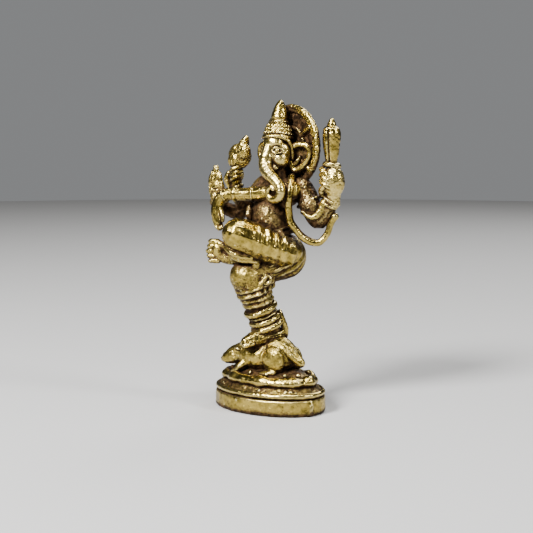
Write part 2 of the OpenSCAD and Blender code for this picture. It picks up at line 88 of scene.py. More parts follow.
# %% Selecting and modifying
def drop_selection():
    if bpy.context.object and bpy.context.object.mode != "OBJECT":
        bpy.ops.object.mode_set(mode="OBJECT")
    bpy.ops.object.select_all(action="DESELECT")


def take(*bits):
    drop_selection()
    for bit in bits:
        bit.select_set(True)
    bpy.context.view_layer.objects.active = bits[0]


def work(piece, kind, **settings):
    """Adds one modifier to a piece and applies it."""
    take(piece)
    bpy.ops.object.modifier_add(type=kind)
    modifier = piece.modifiers[-1]
    for key, value in settings.items():
        setattr(modifier, key, value)
    bpy.ops.object.modifier_apply(modifier=modifier.name)


def stand(piece, place=(0, 0, 0), axis=None, turn=(0, 0, 0), sizes=(1, 1, 1)):
    """Puts a piece in its place and writes that place into its mesh."""
    take(piece)
    piece.scale = sizes
    piece.rotation_euler = Vector(axis).to_track_quat("Z", "Y").to_euler() if axis else turn
    piece.location = place
    bpy.ops.object.transform_apply(location=True, rotation=True, scale=True)
    return piece


# %% Balls, rods and turned forms
def lump(centre, sizes, axis=None, segments=28):
    """A ball pulled to three half sizes, its third size along the axis."""
    drop_selection()
    bpy.ops.mesh.primitive_uv_sphere_add(segments=segments, ring_count=segments // 2, radius=1)
    return stand(bpy.context.object, centre, axis, sizes=sizes)


def through(points, steps=4):
    """A smooth line through every point. A point may carry a radius as its last number."""
    rows = [np.array(p, dtype=float) for p in points]
    line = []
    for i in range(len(rows) - 1):
        a, b = rows[max(i - 1, 0)], rows[i]
        c, d = rows[i + 1], rows[min(i + 2, len(rows) - 1)]
        for s in range(steps):
            t = s / steps
            line.append(0.5 * (2 * b + (c - a) * t + (2 * a - 5 * b + 4 * c - d) * t * t
                               + (3 * b - a - 3 * c + d) * t ** 3))
    return line + [rows[-1]]


def rod(points, steps=4, sides=4):
    """A rod through points (x, y, z, radius) in millimetres, with rounded ends."""
    line = through(points, steps)
    for end, back in ((0, 1), (-1, -2)):
        tip, radius = line[end][:3], line[end][3]
        out = tip - line[back][:3]
        out = out / np.linalg.norm(out)
        cap = [np.append(tip + out * radius * math.sin(math.radians(a)),
                         radius * math.cos(math.radians(a))) for a in (30, 55, 75, 88)]
        line = cap[::-1] + line if end == 0 else line + cap
    drop_selection()
    bpy.ops.curve.primitive_nurbs_path_add()
    wire = bpy.context.object
    wire.data.splines.clear()
    spline = wire.data.splines.new("POLY")
    spline.points.add(len(line) - 1)
    for point, row in zip(spline.points, line):
        point.co = (*row[:3], 1)
        point.radius = row[3]
    wire.data.bevel_depth = 1
    wire.data.bevel_resolution = sides
    wire.data.use_fill_caps = True
    take(wire)
    bpy.ops.object.convert(target="MESH")
    return bpy.context.object


def stroke(*rows, **more):
    """A rod whose points and radii are in hundredths of the figure."""
    return rod([(*spot(*row[:3]), row[3] * share) for row in rows], **more)


def clay(place, sizes, axis=None):
    """A lump placed and sized in hundredths of the figure."""
    return lump(spot(*place), [s * share for s in sizes], axis)


def face_outwards():
    """Ends edit mode with every face of the active piece turned outwards."""
    bpy.ops.mesh.select_all(action="SELECT")
    bpy.ops.mesh.normals_make_consistent(inside=False)
    bpy.ops.object.mode_set(mode="OBJECT")
    return bpy.context.object


def turned(levels, sides=64):
    """A form extruded upwards from a disc. Each level is (half width, half depth, height)."""
    drop_selection()
    width, depth, height = levels[0]
    bpy.ops.mesh.primitive_circle_add(vertices=sides, radius=1, fill_type="NGON")
    bpy.ops.object.mode_set(mode="EDIT")
    bpy.ops.mesh.select_all(action="SELECT")
    bpy.ops.transform.resize(value=(width, depth, 1), center_override=(0, 0, 0))
    bpy.ops.transform.translate(value=(0, 0, height))
    for wide, deep, high in levels[1:]:
        bpy.ops.mesh.extrude_region_move(TRANSFORM_OT_translate={"value": (0, 0, high - height)})
        bpy.ops.transform.resize(value=(wide / width, deep / depth, 1),
                                 center_override=(0, 0, 0))
        width, depth, height = wide, deep, high
    return face_outwards()


def copies(bit, places):
    """The bit repeated at each place, each copy with its own mesh. The first one is moved."""
    made = []
    for place in places:
        take(bit)
        bpy.ops.object.duplicate()
        made.append(stand(bpy.context.object, place))
    bpy.data.objects.remove(bit)
    return made


# %% Melting bits together
def melt(name, bits, grain=0.09, calm=4):
    """Joins bits and remeshes them to one skin whose quads are grain wide."""
    take(*bits)
    if len(bits) > 1:
        bpy.ops.object.join()
    piece = bpy.context.object
    piece.name = piece.data.name = name
    work(piece, "REMESH", mode="VOXEL", voxel_size=grain)
    if calm:
        work(piece, "SMOOTH", factor=0.5, iterations=calm)
    return piece


# %% [markdown]
# ## Relief and casting skin
# Folds, ribs and rings are raised by weight: each point of the skin gets a weight, and Displace
# pushes it along its normal by that share of a height. Afterwards a slow swell and a fine grain
# of pits make the surface uneven, as investment casting leaves it.

# %% Relief
def points_of(piece):
    rows = np.empty(len(piece.data.vertices) * 3)
    piece.data.vertices.foreach_get("co", rows)
    return rows.reshape(-1, 3)


def relief(piece, weights, height):
    """Raises the skin by height times a weight from 0 to 1 at each point."""
    group = piece.vertex_groups.new(name="relief")
    for index in np.nonzero(weights > 0.004)[0]:
        group.add([int(index)], float(min(weights[index], 1)), "REPLACE")
    work(piece, "DISPLACE", vertex_group="relief", strength=height, mid_level=0)
    piece.vertex_groups.remove(piece.vertex_groups["relief"])


def near(rows, line, width):
    """Weights that fall off from 1 with the distance from a line, in millimetres."""
    best = np.full(len(rows), 1e9)
    for a, b in zip(line, line[1:]):
        a, b = np.array(a[:3], dtype=float), np.array(b[:3], dtype=float)
        run = b - a
        t = np.clip((rows - a) @ run / (run @ run), 0, 1)
        best = np.minimum(best, np.linalg.norm(rows - a - t[:, None] * run, axis=1))
    return np.exp(-(best / width) ** 2)


def along(rows, a, b):
    """How far each point lies on the way from a to b: 0 at a, 1 at b."""
    a, b = np.array(a), np.array(b)
    run = b - a
    return (rows - a) @ run / (run @ run)


# %% Casting skin
def cloud(name, kind, size, **more):
    texture = bpy.data.textures.new(name, kind)
    texture.noise_scale = size
    for key, value in more.items():
        setattr(texture, key, value)
    return texture


swell_noise = cloud("swell_noise", "CLOUDS", 1.5, noise_depth=2)
dent_noise = cloud("dent_noise", "CLOUDS", 0.5, noise_depth=2)
pit_noise = cloud("pit_noise", "VORONOI", 0.34, distance_metric="DISTANCE")


def cast_skin(piece, swell, dent, pit):
    """A slow swell, small dents and fine pits, each as deep as its number in millimetres."""
    for texture, depth in ((swell_noise, swell), (dent_noise, dent), (pit_noise, pit)):
        if depth:
            work(piece, "DISPLACE", texture=texture, texture_coords="LOCAL",
                 strength=depth, mid_level=0.5)


# %% Handing a finished piece over
POLISHED, PATINATED = "polished_brass", "patinated_brass"


def hand_over(piece, skin, metal, *nodes, slot=POLISHED):
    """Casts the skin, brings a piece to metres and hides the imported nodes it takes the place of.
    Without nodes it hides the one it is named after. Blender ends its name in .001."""
    if skin:
        cast_skin(piece, *skin)
    stand(piece, sizes=(MM, MM, MM))
    take(piece)
    bpy.ops.object.shade_smooth()
    piece.data.materials.clear()
    piece.data.materials.append(metal)
    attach(piece, "root")
    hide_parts(*(nodes or [piece.name.split(".")[0]]))
    print("%-18s %6d faces" % (piece.name, len(piece.data.polygons)))


# %% [markdown]
# ## The metal
# The real figure is yellow brass, blackened all over and then rubbed bright on what stands out.
# So one recipe makes every finish: a dark patina layer that stays wherever the ambient
# occlusion and the curvature say the rubbing cloth could not reach, broken up by noise, over a
# warm metal whose own colour runs from olive to pale gold. Surfaces that face down get more of
# the dark layer as painted shade.

# %% Antique brass
def antique_brass(name, gold, olive, patina_and_shade_left=0.5, gloss=0.26, grit=0.5, reach=1.5):
    """Rubbed brass: the number after the two colours is how much of the dark layer is left, patina
    and painted shade together, and grit is how deep the fine pits are.
    """
    metal = bpy.data.materials.new(name)
    metal.use_nodes = True
    nodes, links = metal.node_tree.nodes, metal.node_tree.links
    shader = nodes["Principled BSDF"]

    def node(kind, **settings):
        made = nodes.new(kind)
        for key, value in settings.items():
            setattr(made, key, value)
        return made

    def reckon(action, a, b):
        made = node("ShaderNodeMath", operation=action)
        for socket, value in zip(made.inputs, (a, b)):
            if isinstance(value, (int, float)):
                socket.default_value = value
            else:
                links.new(value, socket)
        return made.outputs[0]

    def plus(a, b):
        return reckon("ADD", a, b)

    def times(a, b):
        return reckon("MULTIPLY", a, b)

    def minus(a, b):
        return reckon("SUBTRACT", a, b)

    def fit(value, low, high, to_low=0.0, to_high=1.0):
        made = node("ShaderNodeMapRange", interpolation_type="SMOOTHSTEP")
        links.new(value, made.inputs[0])
        for socket, number in zip(made.inputs[1:5], (low, high, to_low, to_high)):
            socket.default_value = number
        return made.outputs[0]

    def blend(factor, a, b):
        made = node("ShaderNodeMix", data_type="RGBA")
        links.new(factor, made.inputs[0])
        for socket, value in ((made.inputs[6], a), (made.inputs[7], b)):
            if isinstance(value, tuple):
                socket.default_value = (*value, 1)
            else:
                links.new(value, socket)
        return made.outputs[2]

    where = node("ShaderNodeTexCoord").outputs["Object"]

    def noise(per_mm, detail=3, rough=0.55):
        made = node("ShaderNodeTexNoise")
        made.inputs["Scale"].default_value = per_mm / MM
        made.inputs["Detail"].default_value = detail
        made.inputs["Roughness"].default_value = rough
        links.new(where, made.inputs["Vector"])
        return made.outputs["Fac"]

    slow, middle, fine = noise(0.45), noise(1.6, 4), noise(5.5, 4, 0.65)
    hidden = node("ShaderNodeAmbientOcclusion", samples=10)
    hidden.inputs["Distance"].default_value = reach * MM
    open_sky = hidden.outputs["AO"]
    bend = node("ShaderNodeNewGeometry").outputs["Pointiness"]

    pits = node("ShaderNodeTexVoronoi", feature="F1")
    pits.inputs["Scale"].default_value = 3.6 / MM
    links.new(where, pits.inputs["Vector"])
    pit_mask = times(fit(pits.outputs["Distance"], 0.12, 0.42, 1, 0),
                         fit(middle, 0.5, 0.66))

    deep = fit(open_sky, 0.4, 0.97, 1, 0)
    hollow = fit(bend, 0.45, 0.505, 1, 0)
    dark = plus(times(deep, 0.95), times(hollow, 0.4))
    dark = plus(dark, times(pit_mask, 0.45 * grit))
    dark = plus(dark, times(minus(fine, 0.5), 0.7))
    dark = plus(dark, times(minus(slow, 0.5), 0.7))
    # Painted shade: surfaces that face down get more of the dark layer, darker the more they face
    # down.
    under = node("ShaderNodeSeparateXYZ")
    links.new(node("ShaderNodeTexCoord").outputs["Normal"], under.inputs[0])
    dark = plus(dark, fit(under.outputs["Z"], -0.9, 0.2, 0.34, 0))
    # This threshold sets how much of the dark layer stays, patina and painted shade alike.
    dark = fit(dark, 0.58 - 0.6 * patina_and_shade_left, 0.84 - 0.6 * patina_and_shade_left)

    tone = plus(times(slow, 0.5), times(middle, 0.5))
    warm = blend(fit(tone, 0.36, 0.62), olive, gold)
    warm = blend(fit(bend, 0.505, 0.56, 0, 0.7), warm, (0.95, 0.8, 0.36))
    # The colour of the dark layer: patina, and painted shade where the layer darkens what faces
    # down or lies in shade.
    patina_and_shade_colour = blend(fit(middle, 0.4, 0.65), (0.016, 0.008, 0.003), (0.085, 0.045, 0.018))
    links.new(blend(dark, warm, patina_and_shade_colour), shader.inputs["Base Color"])
    links.new(fit(dark, 0.0, 1.0, 1.0, 0.8), shader.inputs["Metallic"])
    rough = plus(fit(dark, 0.0, 1.0, gloss, 0.62),
                      times(minus(middle, 0.5), 0.25))
    links.new(rough, shader.inputs["Roughness"])
    shader.inputs["Specular IOR Level"].default_value = 0.25

    height = minus(times(fine, 0.6), pit_mask)
    height = plus(height, times(middle, 0.5))
    bump = node("ShaderNodeBump")
    bump.inputs["Strength"].default_value = 0.35 + 0.35 * grit
    bump.inputs["Distance"].default_value = 0.06 * MM
    links.new(height, bump.inputs["Height"])
    links.new(bump.outputs["Normal"], shader.inputs["Normal"])
    return metal


GOLD, OLIVE = (0.56, 0.41, 0.09), (0.22, 0.16, 0.026)
PALE_GOLD, STRAW = (0.76, 0.6, 0.2), (0.46, 0.34, 0.07)
UMBER, DEEP_UMBER = (0.42, 0.3, 0.09), (0.2, 0.14, 0.04)
rubbed_brass = antique_brass("rubbed_brass", GOLD, OLIVE, 0.54, 0.22, 0.35, 2.8)
face_brass = antique_brass("face_brass", PALE_GOLD, STRAW, 0.47, 0.24, 0.25, 2.4)
plinth_brass = antique_brass("plinth_brass", GOLD, OLIVE, 0.56, 0.3, 0.8, 1.6)
pitted_brass = antique_brass("pitted_brass", GOLD, OLIVE, 0.68, 0.27, 1.0, 2.6)
# The next material keeps more of the dark layer: patina, and painted shade for the seat, which
# faces down, and for the ledge under the upper ring.
dull_patina_shade_brass = antique_brass("dull_patina_shade_brass", GOLD, OLIVE, 0.94, 0.3, 1.0, 2.6)
# The next material keeps nearly all of the dark layer: patina, and painted shade for the body and
# the arms that lie in shade behind the others.
dark_patina_shade_brass = antique_brass("dark_patina_shade_brass", UMBER, DEEP_UMBER, 1.02, 0.3, 0.8, 3.6)
soot_brass = antique_brass("soot_brass", UMBER, DEEP_UMBER, 1.5, 0.35, 0.8, 2.0)

# %% [markdown]
# ## The base
# An oval plinth with a square edge, a groove, a rounded bead, a sloping ledge full of casting
# grit, and a wavy upper ring. Each is a disc extruded upwards and then waved by noise, because
# the wax was pressed by hand and is nowhere quite regular.

# %% Plinth and bead
low, high = box_mm("base_plinth")
wide, deep, plinth_top = high.x, high.y, high.z
OVAL_SIDES = 160


def ring_of(levels):
    """Levels given as (inset, height) turned into an oval stack of the base."""
    return [(wide - inset, deep - inset, height) for inset, height in levels]


plinth = turned(ring_of([(0.3, 0), (0.08, 0.12), (0.0, 0.5), (0.02, 1.3), (0.03, plinth_top - 0.3),
                         (0.14, plinth_top - 0.08), (0.42, plinth_top)]), OVAL_SIDES)
seam = rod([(wide - 0.45, -1.7, 0.25, 0.3), (wide - 0.2, -1.5, 1.2, 0.34),
            (wide - 0.42, -1.35, 2.1, 0.25)])
plinth = melt("plinth", [plinth, seam], 0.13, 3)
groove = [(wide - 0.02, -2.35, 0.2), (wide - 0.1, -2.5, 1.2), (wide - 0.1, -2.3, 2.3)]
relief(plinth, near(points_of(plinth), groove, 0.28), -0.22)
cast_skin(plinth, 0.12, 0.05, 0.03)
for vertex in plinth.data.vertices:
    vertex.co.z = max(vertex.co.z, 0)
hand_over(plinth, None, plinth_brass, "base_plinth")

bead_top = box_mm("plinth_bead")[1].z
bead = turned(ring_of([(0.6, plinth_top - 0.1), (0.5, plinth_top + 0.08),
                       (0.22, plinth_top + 0.16), (0.06, plinth_top + 0.32),
                       (0.0, plinth_top + 0.52), (0.08, plinth_top + 0.72),
                       (0.26, bead_top - 0.06), (0.5, bead_top - 0.04),
                       (0.7, bead_top - 0.3)]), OVAL_SIDES)
bead = melt("bead", [bead], 0.13, 2)
hand_over(bead, (0.16, 0.07, 0.03), rubbed_brass, "plinth_bead")

# %% Ledge with casting grit
ledge_top = box_mm("base_ledge")[1].z
ledge = turned(ring_of([(0.6, bead_top - 0.4), (0.62, bead_top - 0.12), (1.0, bead_top + 0.1),
                        (1.3, ledge_top - 0.1), (1.8, ledge_top)]), OVAL_SIDES)
rng = np.random.default_rng(7)
grit = []
for turn in rng.uniform(0, 360, 46):
    c, s = math.cos(math.radians(turn)), math.sin(math.radians(turn))
    size = rng.uniform(0.1, 0.26)
    inset = rng.uniform(0.75, 1.15)
    grit.append(lump(((wide - inset) * c, (deep - inset) * s, bead_top + rng.uniform(0.0, 0.2)),
                     (size, size, size * 0.8), segments=12))
ledge = melt("ledge", [ledge, *grit], 0.12, 2)
hand_over(ledge, (0.2, 0.1, 0.06), dull_patina_shade_brass, "base_ledge", slot=PATINATED)

# %% Upper ring and mound
ring_high = box_mm("base_ring")[1]
ring_in = wide - ring_high.x - 0.15
upper_ring = turned(ring_of([
    (ring_in + 0.7, ledge_top - 0.2), (ring_in + 0.3, ledge_top + 0.02),
    (ring_in + 0.04, ledge_top + 0.28), (ring_in - 0.02, ledge_top + 0.55),
    (ring_in + 0.12, ledge_top + 0.85), (ring_in + 0.5, deck - 0.02),
    (ring_in + 1.0, deck - 0.06), (ring_in + 1.4, deck - 0.22)]), OVAL_SIDES)
upper_ring = melt("upper_ring", [upper_ring], 0.12, 3)
rows = points_of(upper_ring)
turn = np.arctan2(rows[:, 1] / deep, rows[:, 0] / wide)
waves = 0.5 + 0.28 * np.sin(turn * 9 + 0.6) + 0.22 * np.sin(turn * 15 + 2.0)
relief(upper_ring, waves * (rows[:, 2] > ledge_top + 0.1), 0.34)
hand_over(upper_ring, (0.26, 0.06, 0.02), rubbed_brass, "base_ring")

mound_high = box_mm("base_mound")[1]
mound_in = wide - mound_high.x
mound = turned(ring_of([(mound_in - 0.5, deck - 0.5), (mound_in, deck),
                        (mound_in + 0.8, deck + 0.35), (mound_in + 2.0, mound_high.z),
                        (mound_in + 3.2, mound_high.z + 0.05)]), 120)
mound = melt("mound", [mound], 0.12, 2)
hand_over(mound, (0.25, 0.12, 0.08), dark_patina_shade_brass, "base_mound", slot=PATINATED)

# %% Pearls
pearl = lump((0, 0, 0), (0.34, 0.34, 0.34), segments=20)
ring_of_pearls = []
for turn in (30, 90, 150, 210, 236, 264, 290, 318, 342):
    c, s = math.cos(math.radians(turn)), math.sin(math.radians(turn))
    ring_of_pearls.append(((mound_high.x - 0.25) * c, (mound_high.y - 0.25) * s, deck + 0.3))
pearls = melt("pearls", copies(pearl, ring_of_pearls), 0.08, 1)
hand_over(pearls, (0.06, 0.04, 0.0), rubbed_brass)

# %% [markdown]
# ## The mouse
# The mount crouches across the base with its head to the figure's right. It is one soft hump:
# body, haunch and head are lumps melted together, with round ears, tucked forelegs and a large
# hind thigh over a flat foot. A broad tail slopes down behind it.

# %% Mouse
mouse_bits = [
    clay((-2.2, -1.5, 6.2), (6.4, 6.2, 10.4), (-13.5, -3.4, 0.2)),
    clay((4.6, 0, 6.8), (6.6, 6.4, 6.8)),
    stroke((-7, -2.8, 7.0, 4.7), (-10.6, -4.0, 6.4, 4.0), (-13.6, -5.0, 5.2, 3.3),
           (-15.4, -5.5, 4.4, 2.5)),
    stroke((-5.2, -5.6, 4.8, 1.9), (-7.0, -8.2, 2.6, 1.4), (-8.2, -9.0, 0.9, 1.0)),
    stroke((-8.2, -9.0, 0.7, 1.0), (-9.8, -9.4, 0.5, 0.8)),
    stroke((-5.2, 2.4, 4.8, 1.9), (-7.0, 4.6, 2.6, 1.4), (-8.2, 4.6, 0.9, 1.0)),
    clay((6.2, -5.4, 5.6), (4.6, 2.6, 5.2)),
    clay((6.8, 4.6, 5.0), (4.7, 2.6, 5.0)),
    stroke((7.2, -6.8, 1.2, 1.3), (4.6, -7.8, 0.8, 1.2), (2.6, -8.0, 0.6, 0.9)),
    stroke((7.2, 6.4, 1.2, 1.3), (4.6, 7.4, 0.8, 1.2), (2.6, 7.6, 0.6, 0.9)),
    clay((-9.4, -6.6, 8.4), (1.9, 0.9, 1.9), (-0.4, -0.9, 0.3)),
    clay((-9.2, 0.4, 8.6), (1.9, 0.9, 1.9), (-0.2, 0.9, 0.3)),
    clay((-13.0, -7.1, 5.4), (0.75, 0.6, 0.75)),
    clay((-13.8, -2.7, 5.4), (0.75, 0.6, 0.75)),
    clay((-16.9, -6.0, 3.9), (1.5, 1.4, 1.4)),
]
mouse = melt("mouse", mouse_bits, 0.085, 4)
rows = points_of(mouse)
ear_cups = near(rows, [spot(-9.6, -7.4, 8.7), spot(-9.5, -7.2, 8.5)], 0.36)
relief(mouse, ear_cups, -0.22)
cheek_line = [spot(-11.0, -7.8, 7.4), spot(-10.2, -8.2, 5.0), spot(-10.6, -7.6, 2.6)]
haunch_line = [spot(2.4, -5.6, 10.6), spot(1.6, -7.4, 6.6), spot(2.2, -7.8, 2.4)]
ribs = [[spot(x, -6.6, 9.2), spot(x - 0.7, -7.8, 5.8), spot(x - 0.2, -7.4, 2.8)]
        for x in (-6.2, -3.8, -1.4)]
relief(mouse, near(rows, cheek_line, 0.2) + near(rows, haunch_line, 0.24), -0.18)
relief(mouse, sum(near(rows, rib, 0.3) for rib in ribs), 0.1)
hand_over(mouse, (0.2, 0.08, 0.045), plinth_brass, "mouse_body", "mouse_rump", "mouse_head",
          "mouse_ears", "mouse_forelegs", "mouse_hind_legs")

tail = melt("mouse_tail", [
    stroke((5.0, 0.4, 10.6, 3.0), (8.4, 0.4, 8.6, 2.9), (11.2, 0.6, 6.6, 2.5),
           (13.7, 0.8, 4.8, 1.9)),
    stroke((5.0, -2.4, 11.8, 1.5), (8.2, -2.4, 9.8, 1.6), (11.2, -1.4, 7.2, 1.5),
           (13.8, 0.0, 5.0, 1.2))], 0.085, 4)
hand_over(tail, (0.18, 0.08, 0.045), plinth_brass)

# %% [markdown]
# ## The standing leg
# The dancer's weight is on one bent leg. The foot is flat with five toes, the shin is wrapped
# in cloth whose folds run round it as tilted rings, and the knee is rubbed smooth. Pleats hang
# from the seat down the outer side of the calf.

# %% Foot
foot_bits = [stroke((1.6, 2.2, 13.2, 3.4), (-0.4, -2.6, 13.4, 3.3), (-2.0, -6.6, 12.7, 2.9),
                    (-3.2, -9.4, 11.9, 2.3)),
             stroke((-1.0, -1.4, 16.6, 3.2), (-1.4, -4.6, 14.6, 2.6), (-2.4, -7.8, 13.2, 1.8))]
for k in range(5):
    across = -2.6 + 1.25 * k
    reach = 1.0 + 0.35 * k
    foot_bits.append(stroke((-2.6 + across * 0.92, -8.2 - across * 0.38, 11.7, 0.95),
                            (-3.1 + across * 0.92 - 0.2 * k, -10.2 - across * 0.38 - 0.3 * reach,
                             11.2, 0.8 + 0.06 * k)))
foot = melt("standing_foot", foot_bits, 0.07, 2)
rows = points_of(foot)
straps = [[spot(-5.6, -6.0, 12.8), spot(-2.6, -5.6, 16.2), spot(1.2, -4.4, 14.0)],
          [spot(-5.4, -8.2, 12.2), spot(-3.0, -7.6, 14.8), spot(0.6, -6.2, 12.8)]]
relief(foot, sum(near(rows, strap, 0.22) for strap in straps), 0.13)
hand_over(foot, (0.14, 0.1, 0.05), rubbed_brass)

# %% Leg
ankle, knee = spot(-0.6, -0.8, 17.5), spot(-3.9, -8, 35.4)
leg_bits = [
    stroke((-0.6, -0.8, 17.0, 5.2), (-1.6, -2.8, 22.5, 5.1), (-2.6, -5.2, 29.0, 5.7),
           (-3.8, -7.6, 34.4, 6.2)),
    clay((-4.0, -8.2, 36.0), (6.3, 6.3, 6.4)),
    stroke((-3.6, -7.0, 36.6, 5.9), (0.2, -1.4, 39.2, 6.1), (3.2, 3.2, 41.0, 6.3))]
PLEATS = [((3.6, -6.6, 36.0), (1.6, -8.6, 31.4), (1.6, -6.6, 25.6)),
          ((4.2, -4.6, 36.4), (2.0, -6.4, 31.2), (2.2, -4.8, 25.0)),
          ((4.4, -2.6, 36.6), (2.0, -4.2, 31.0), (2.4, -2.8, 24.6)),
          ((4.2, -0.6, 36.6), (1.4, -2.2, 31.0), (1.6, -0.8, 24.4))]
for pleat in PLEATS:
    leg_bits.append(stroke(*[(*place, size) for place, size in zip(pleat, (0.9, 1.1, 1.2))]))
leg = melt("standing_leg", leg_bits, 0.08, 4)
rows = points_of(leg)
way = along(rows, ankle, knee)
side_lean = (rows @ RIGHTWARDS) / share * 0.004
rings = np.zeros(len(rows))
for centre, width, height in ((0.22, 0.035, 0.8), (0.47, 0.035, 0.7), (0.57, 0.03, 0.5),
                              (0.68, 0.035, 1.0), (0.78, 0.025, 0.55)):
    rings += height * np.exp(-((way + side_lean - centre) / width) ** 2)
relief(leg, rings * (rows[:, 2] < knee.z + 0.3), 0.3)
hand_over(leg, (0.16, 0.1, 0.03), dull_patina_shade_brass, "standing_shin", "standing_knee",
          "standing_thigh", "knee_hem")

# %% Anklets and heel strap
def hoop(centre, axis, radius, wire, lobes=0, flat=1.0):
    """A ring of wire round an axis through a centre, all in millimetres."""
    drop_selection()
    bpy.ops.mesh.primitive_torus_add(major_radius=radius, minor_radius=wire,
                                     major_segments=72, minor_segments=14)
    bits = [stand(bpy.context.object, centre, axis, sizes=(1, 1, flat))]
    turn = Vector(axis).to_track_quat("Z", "Y")
    for k in range(lobes):
        angle = 2 * math.pi * k / lobes
        out = turn @ Vector((math.cos(angle), math.sin(angle), 0))
        bits.append(lump(centre + out * (radius + wire * 0.5), (wire * 0.85,) * 3, segments=12))
    return bits


shin_axis = knee - ankle
lower = melt("lower_anklet", hoop(ankle, shin_axis, 5.2 * share, 0.5)
             + hoop(ankle.lerp(knee, 0.13), shin_axis, 5.1 * share, 0.42), 0.08, 2)
hand_over(lower, (0.2, 0.12, 0.04), rubbed_brass)
upper = melt("upper_anklet", hoop(ankle.lerp(knee, 0.34), shin_axis, 5.3 * share, 0.46), 0.08, 2)
hand_over(upper, (0.2, 0.12, 0.04), rubbed_brass)
strap = melt("heel_strap", [
    stroke((3.6, 1.4, 22.6, 0.9), (4.2, 2.2, 19.4, 1.2), (4.4, 3.2, 16.2, 1.5),
           (3.6, 3.8, 13.6, 1.7)),
    stroke((4.4, 3.2, 15.4, 1.0), (3.4, -1.0, 14.4, 0.8), (1.4, -4.2, 14.2, 0.6))], 0.075, 3)
hand_over(strap, (0.12, 0.08, 0.04), rubbed_brass)

# %% [markdown]
# ## The raised leg and the seat
# The other leg is lifted across the body. Its thigh is wrapped in a cloth whose ribs run round
# it, softer towards the knee, and the seat behind it carries folds that fan out from one point
# and die away before they meet again on the far side.

# %% Raised leg
raised_knee, raised_hip = spot(-3.5, -13.2, 51.6), spot(7.4, 0.4, 46.2)
raised_bits = [
    stroke((-3.5, -13.2, 51.6, 6.2), (0.6, -8.6, 49.2, 6.3), (4.0, -3.8, 46.9, 6.3),
           (6.8, 0.2, 45.2, 6.0)),
    stroke((-3.0, -12.2, 47.6, 3.6), (-5.2, -12.0, 45.4, 3.1), (-8.2, -11.2, 43.0, 2.5)),
    stroke((-7.6, -15.6, 46.6, 0.9), (-4.6, -16.2, 45.2, 1.1), (-1.6, -14.4, 43.8, 1.1),
           (0.6, -11.4, 43.2, 0.9)),
    stroke((-6.6, -14.8, 44.6, 0.7), (-4.0, -15.0, 43.2, 0.9), (-1.2, -13.0, 42.2, 0.9),
           (1.6, -9.6, 41.8, 0.8)),
]
raised = melt("raised_leg", raised_bits, 0.085, 5)
rows = points_of(raised)
way = along(rows, raised_knee, raised_hip)
lift = (rows[:, 2] - raised_knee.z - way * (raised_hip.z - raised_knee.z)) / (6 * share)
ribs = 0.5 + 0.5 * np.cos(2 * math.pi * (way * 5.4 + lift * 0.3))
ribs = ribs * np.clip((way - 0.1) / 0.4, 0, 1) * np.clip(1.3 - 0.7 * np.abs(lift), 0, 1)
relief(raised, ribs * (way < 1.3), 0.24)
work(raised, "SMOOTH", factor=0.5, iterations=10)
hand_over(raised, (0.14, 0.03, 0.0), rubbed_brass, "raised_thigh", "raised_shin", "raised_hem")

# %% Raised foot
foot_bits = [
    clay((-13.0, -13.0, 45.2), (3.4, 2.6, 3.9), (-0.2, -0.1, 1)),
    stroke((-6.4, -10.6, 42.0, 2.1), (-9.6, -11.8, 42.6, 2.4), (-12.6, -12.8, 44.0, 2.9)),
    stroke((-9.0, -13.2, 46.6, 1.2), (-12.0, -14.2, 48.0, 1.3), (-14.4, -14.8, 48.4, 1.0))]
for k in range(5):
    z = 41.6 + 1.75 * k
    bow = 1 - abs(k - 2) / 2.6
    foot_bits.append(stroke((-12.6, -14.2, z, 1.0),
                            (-14.4 - 0.9 * bow, -14.9 - 0.5 * bow, z, 1.0),
                            (-15.3 - 1.0 * bow, -15.1 - 0.5 * bow, z - 0.1, 0.85)))
raised_foot = melt("raised_foot", foot_bits, 0.07, 2)
hand_over(raised_foot, (0.14, 0.12, 0.05), pitted_brass)

# %% Seat
seat_middle = spot(4.1, 3.8, 43)
seat = melt("seat", [clay((4.1, 3.8, 43.4), (7.8, 7.8, 7.8)),
                     clay((2.6, 0.6, 40.6), (5.6, 5.6, 5.6))], 0.085, 5)
rows = points_of(seat) - np.array(seat_middle)
fan_root = np.array([-0.66, -0.55, -0.5])
lean = np.arctan2(rows @ np.cross(fan_root, FACING), rows @ FACING)
folds = 0.5 + 0.5 * np.cos(lean * 17)
low = np.clip(1 - (rows[:, 2] / share) / 7, 0, 1)
rooted = np.clip(0.9 + (rows @ fan_root) / (7.8 * share), 0, 1)
relief(seat, folds * low * rooted, 0.36)
work(seat, "SMOOTH", factor=0.5, iterations=3)
# The seat's darker material is partly painted shade for its lower part, which faces down.
hand_over(seat, (0.12, 0.03, 0.0), dull_patina_shade_brass)

# %% Tassel and sash loop
tassel = melt("tassel", [
    stroke((1.8, -8.0, 44.0, 0.8), (1.4, -8.6, 42.4, 1.3), (0.9, -9.0, 40.4, 1.6),
           (0.5, -9.0, 38.6, 1.0)),
    clay((1.9, -8.0, 44.2), (1.2, 1.2, 0.9))], 0.06, 1)
hand_over(tassel, (0.1, 0.12, 0.05), pitted_brass)
loop_bits = hoop(spot(3.6, -6.4, 35.2), (FACING[0], FACING[1], 0.1), 1.5 * share, 0.24)
loop_bits.append(stroke((2.6, -6.8, 38.0, 0.7), (3.2, -6.8, 36.2, 0.8), (2.0, -7.2, 33.4, 0.7)))
sash = melt("sash_loop", loop_bits, 0.06, 1)
hand_over(sash, (0.08, 0.08, 0.04), rubbed_brass)

# %% [markdown]
# ## The body
# The round belly and the chest lie in the shade of the arms, so their dark material is partly
# patina and partly painted shade. A sacred thread crosses them, its end hangs in front, and a
# double girdle closes the cloth.

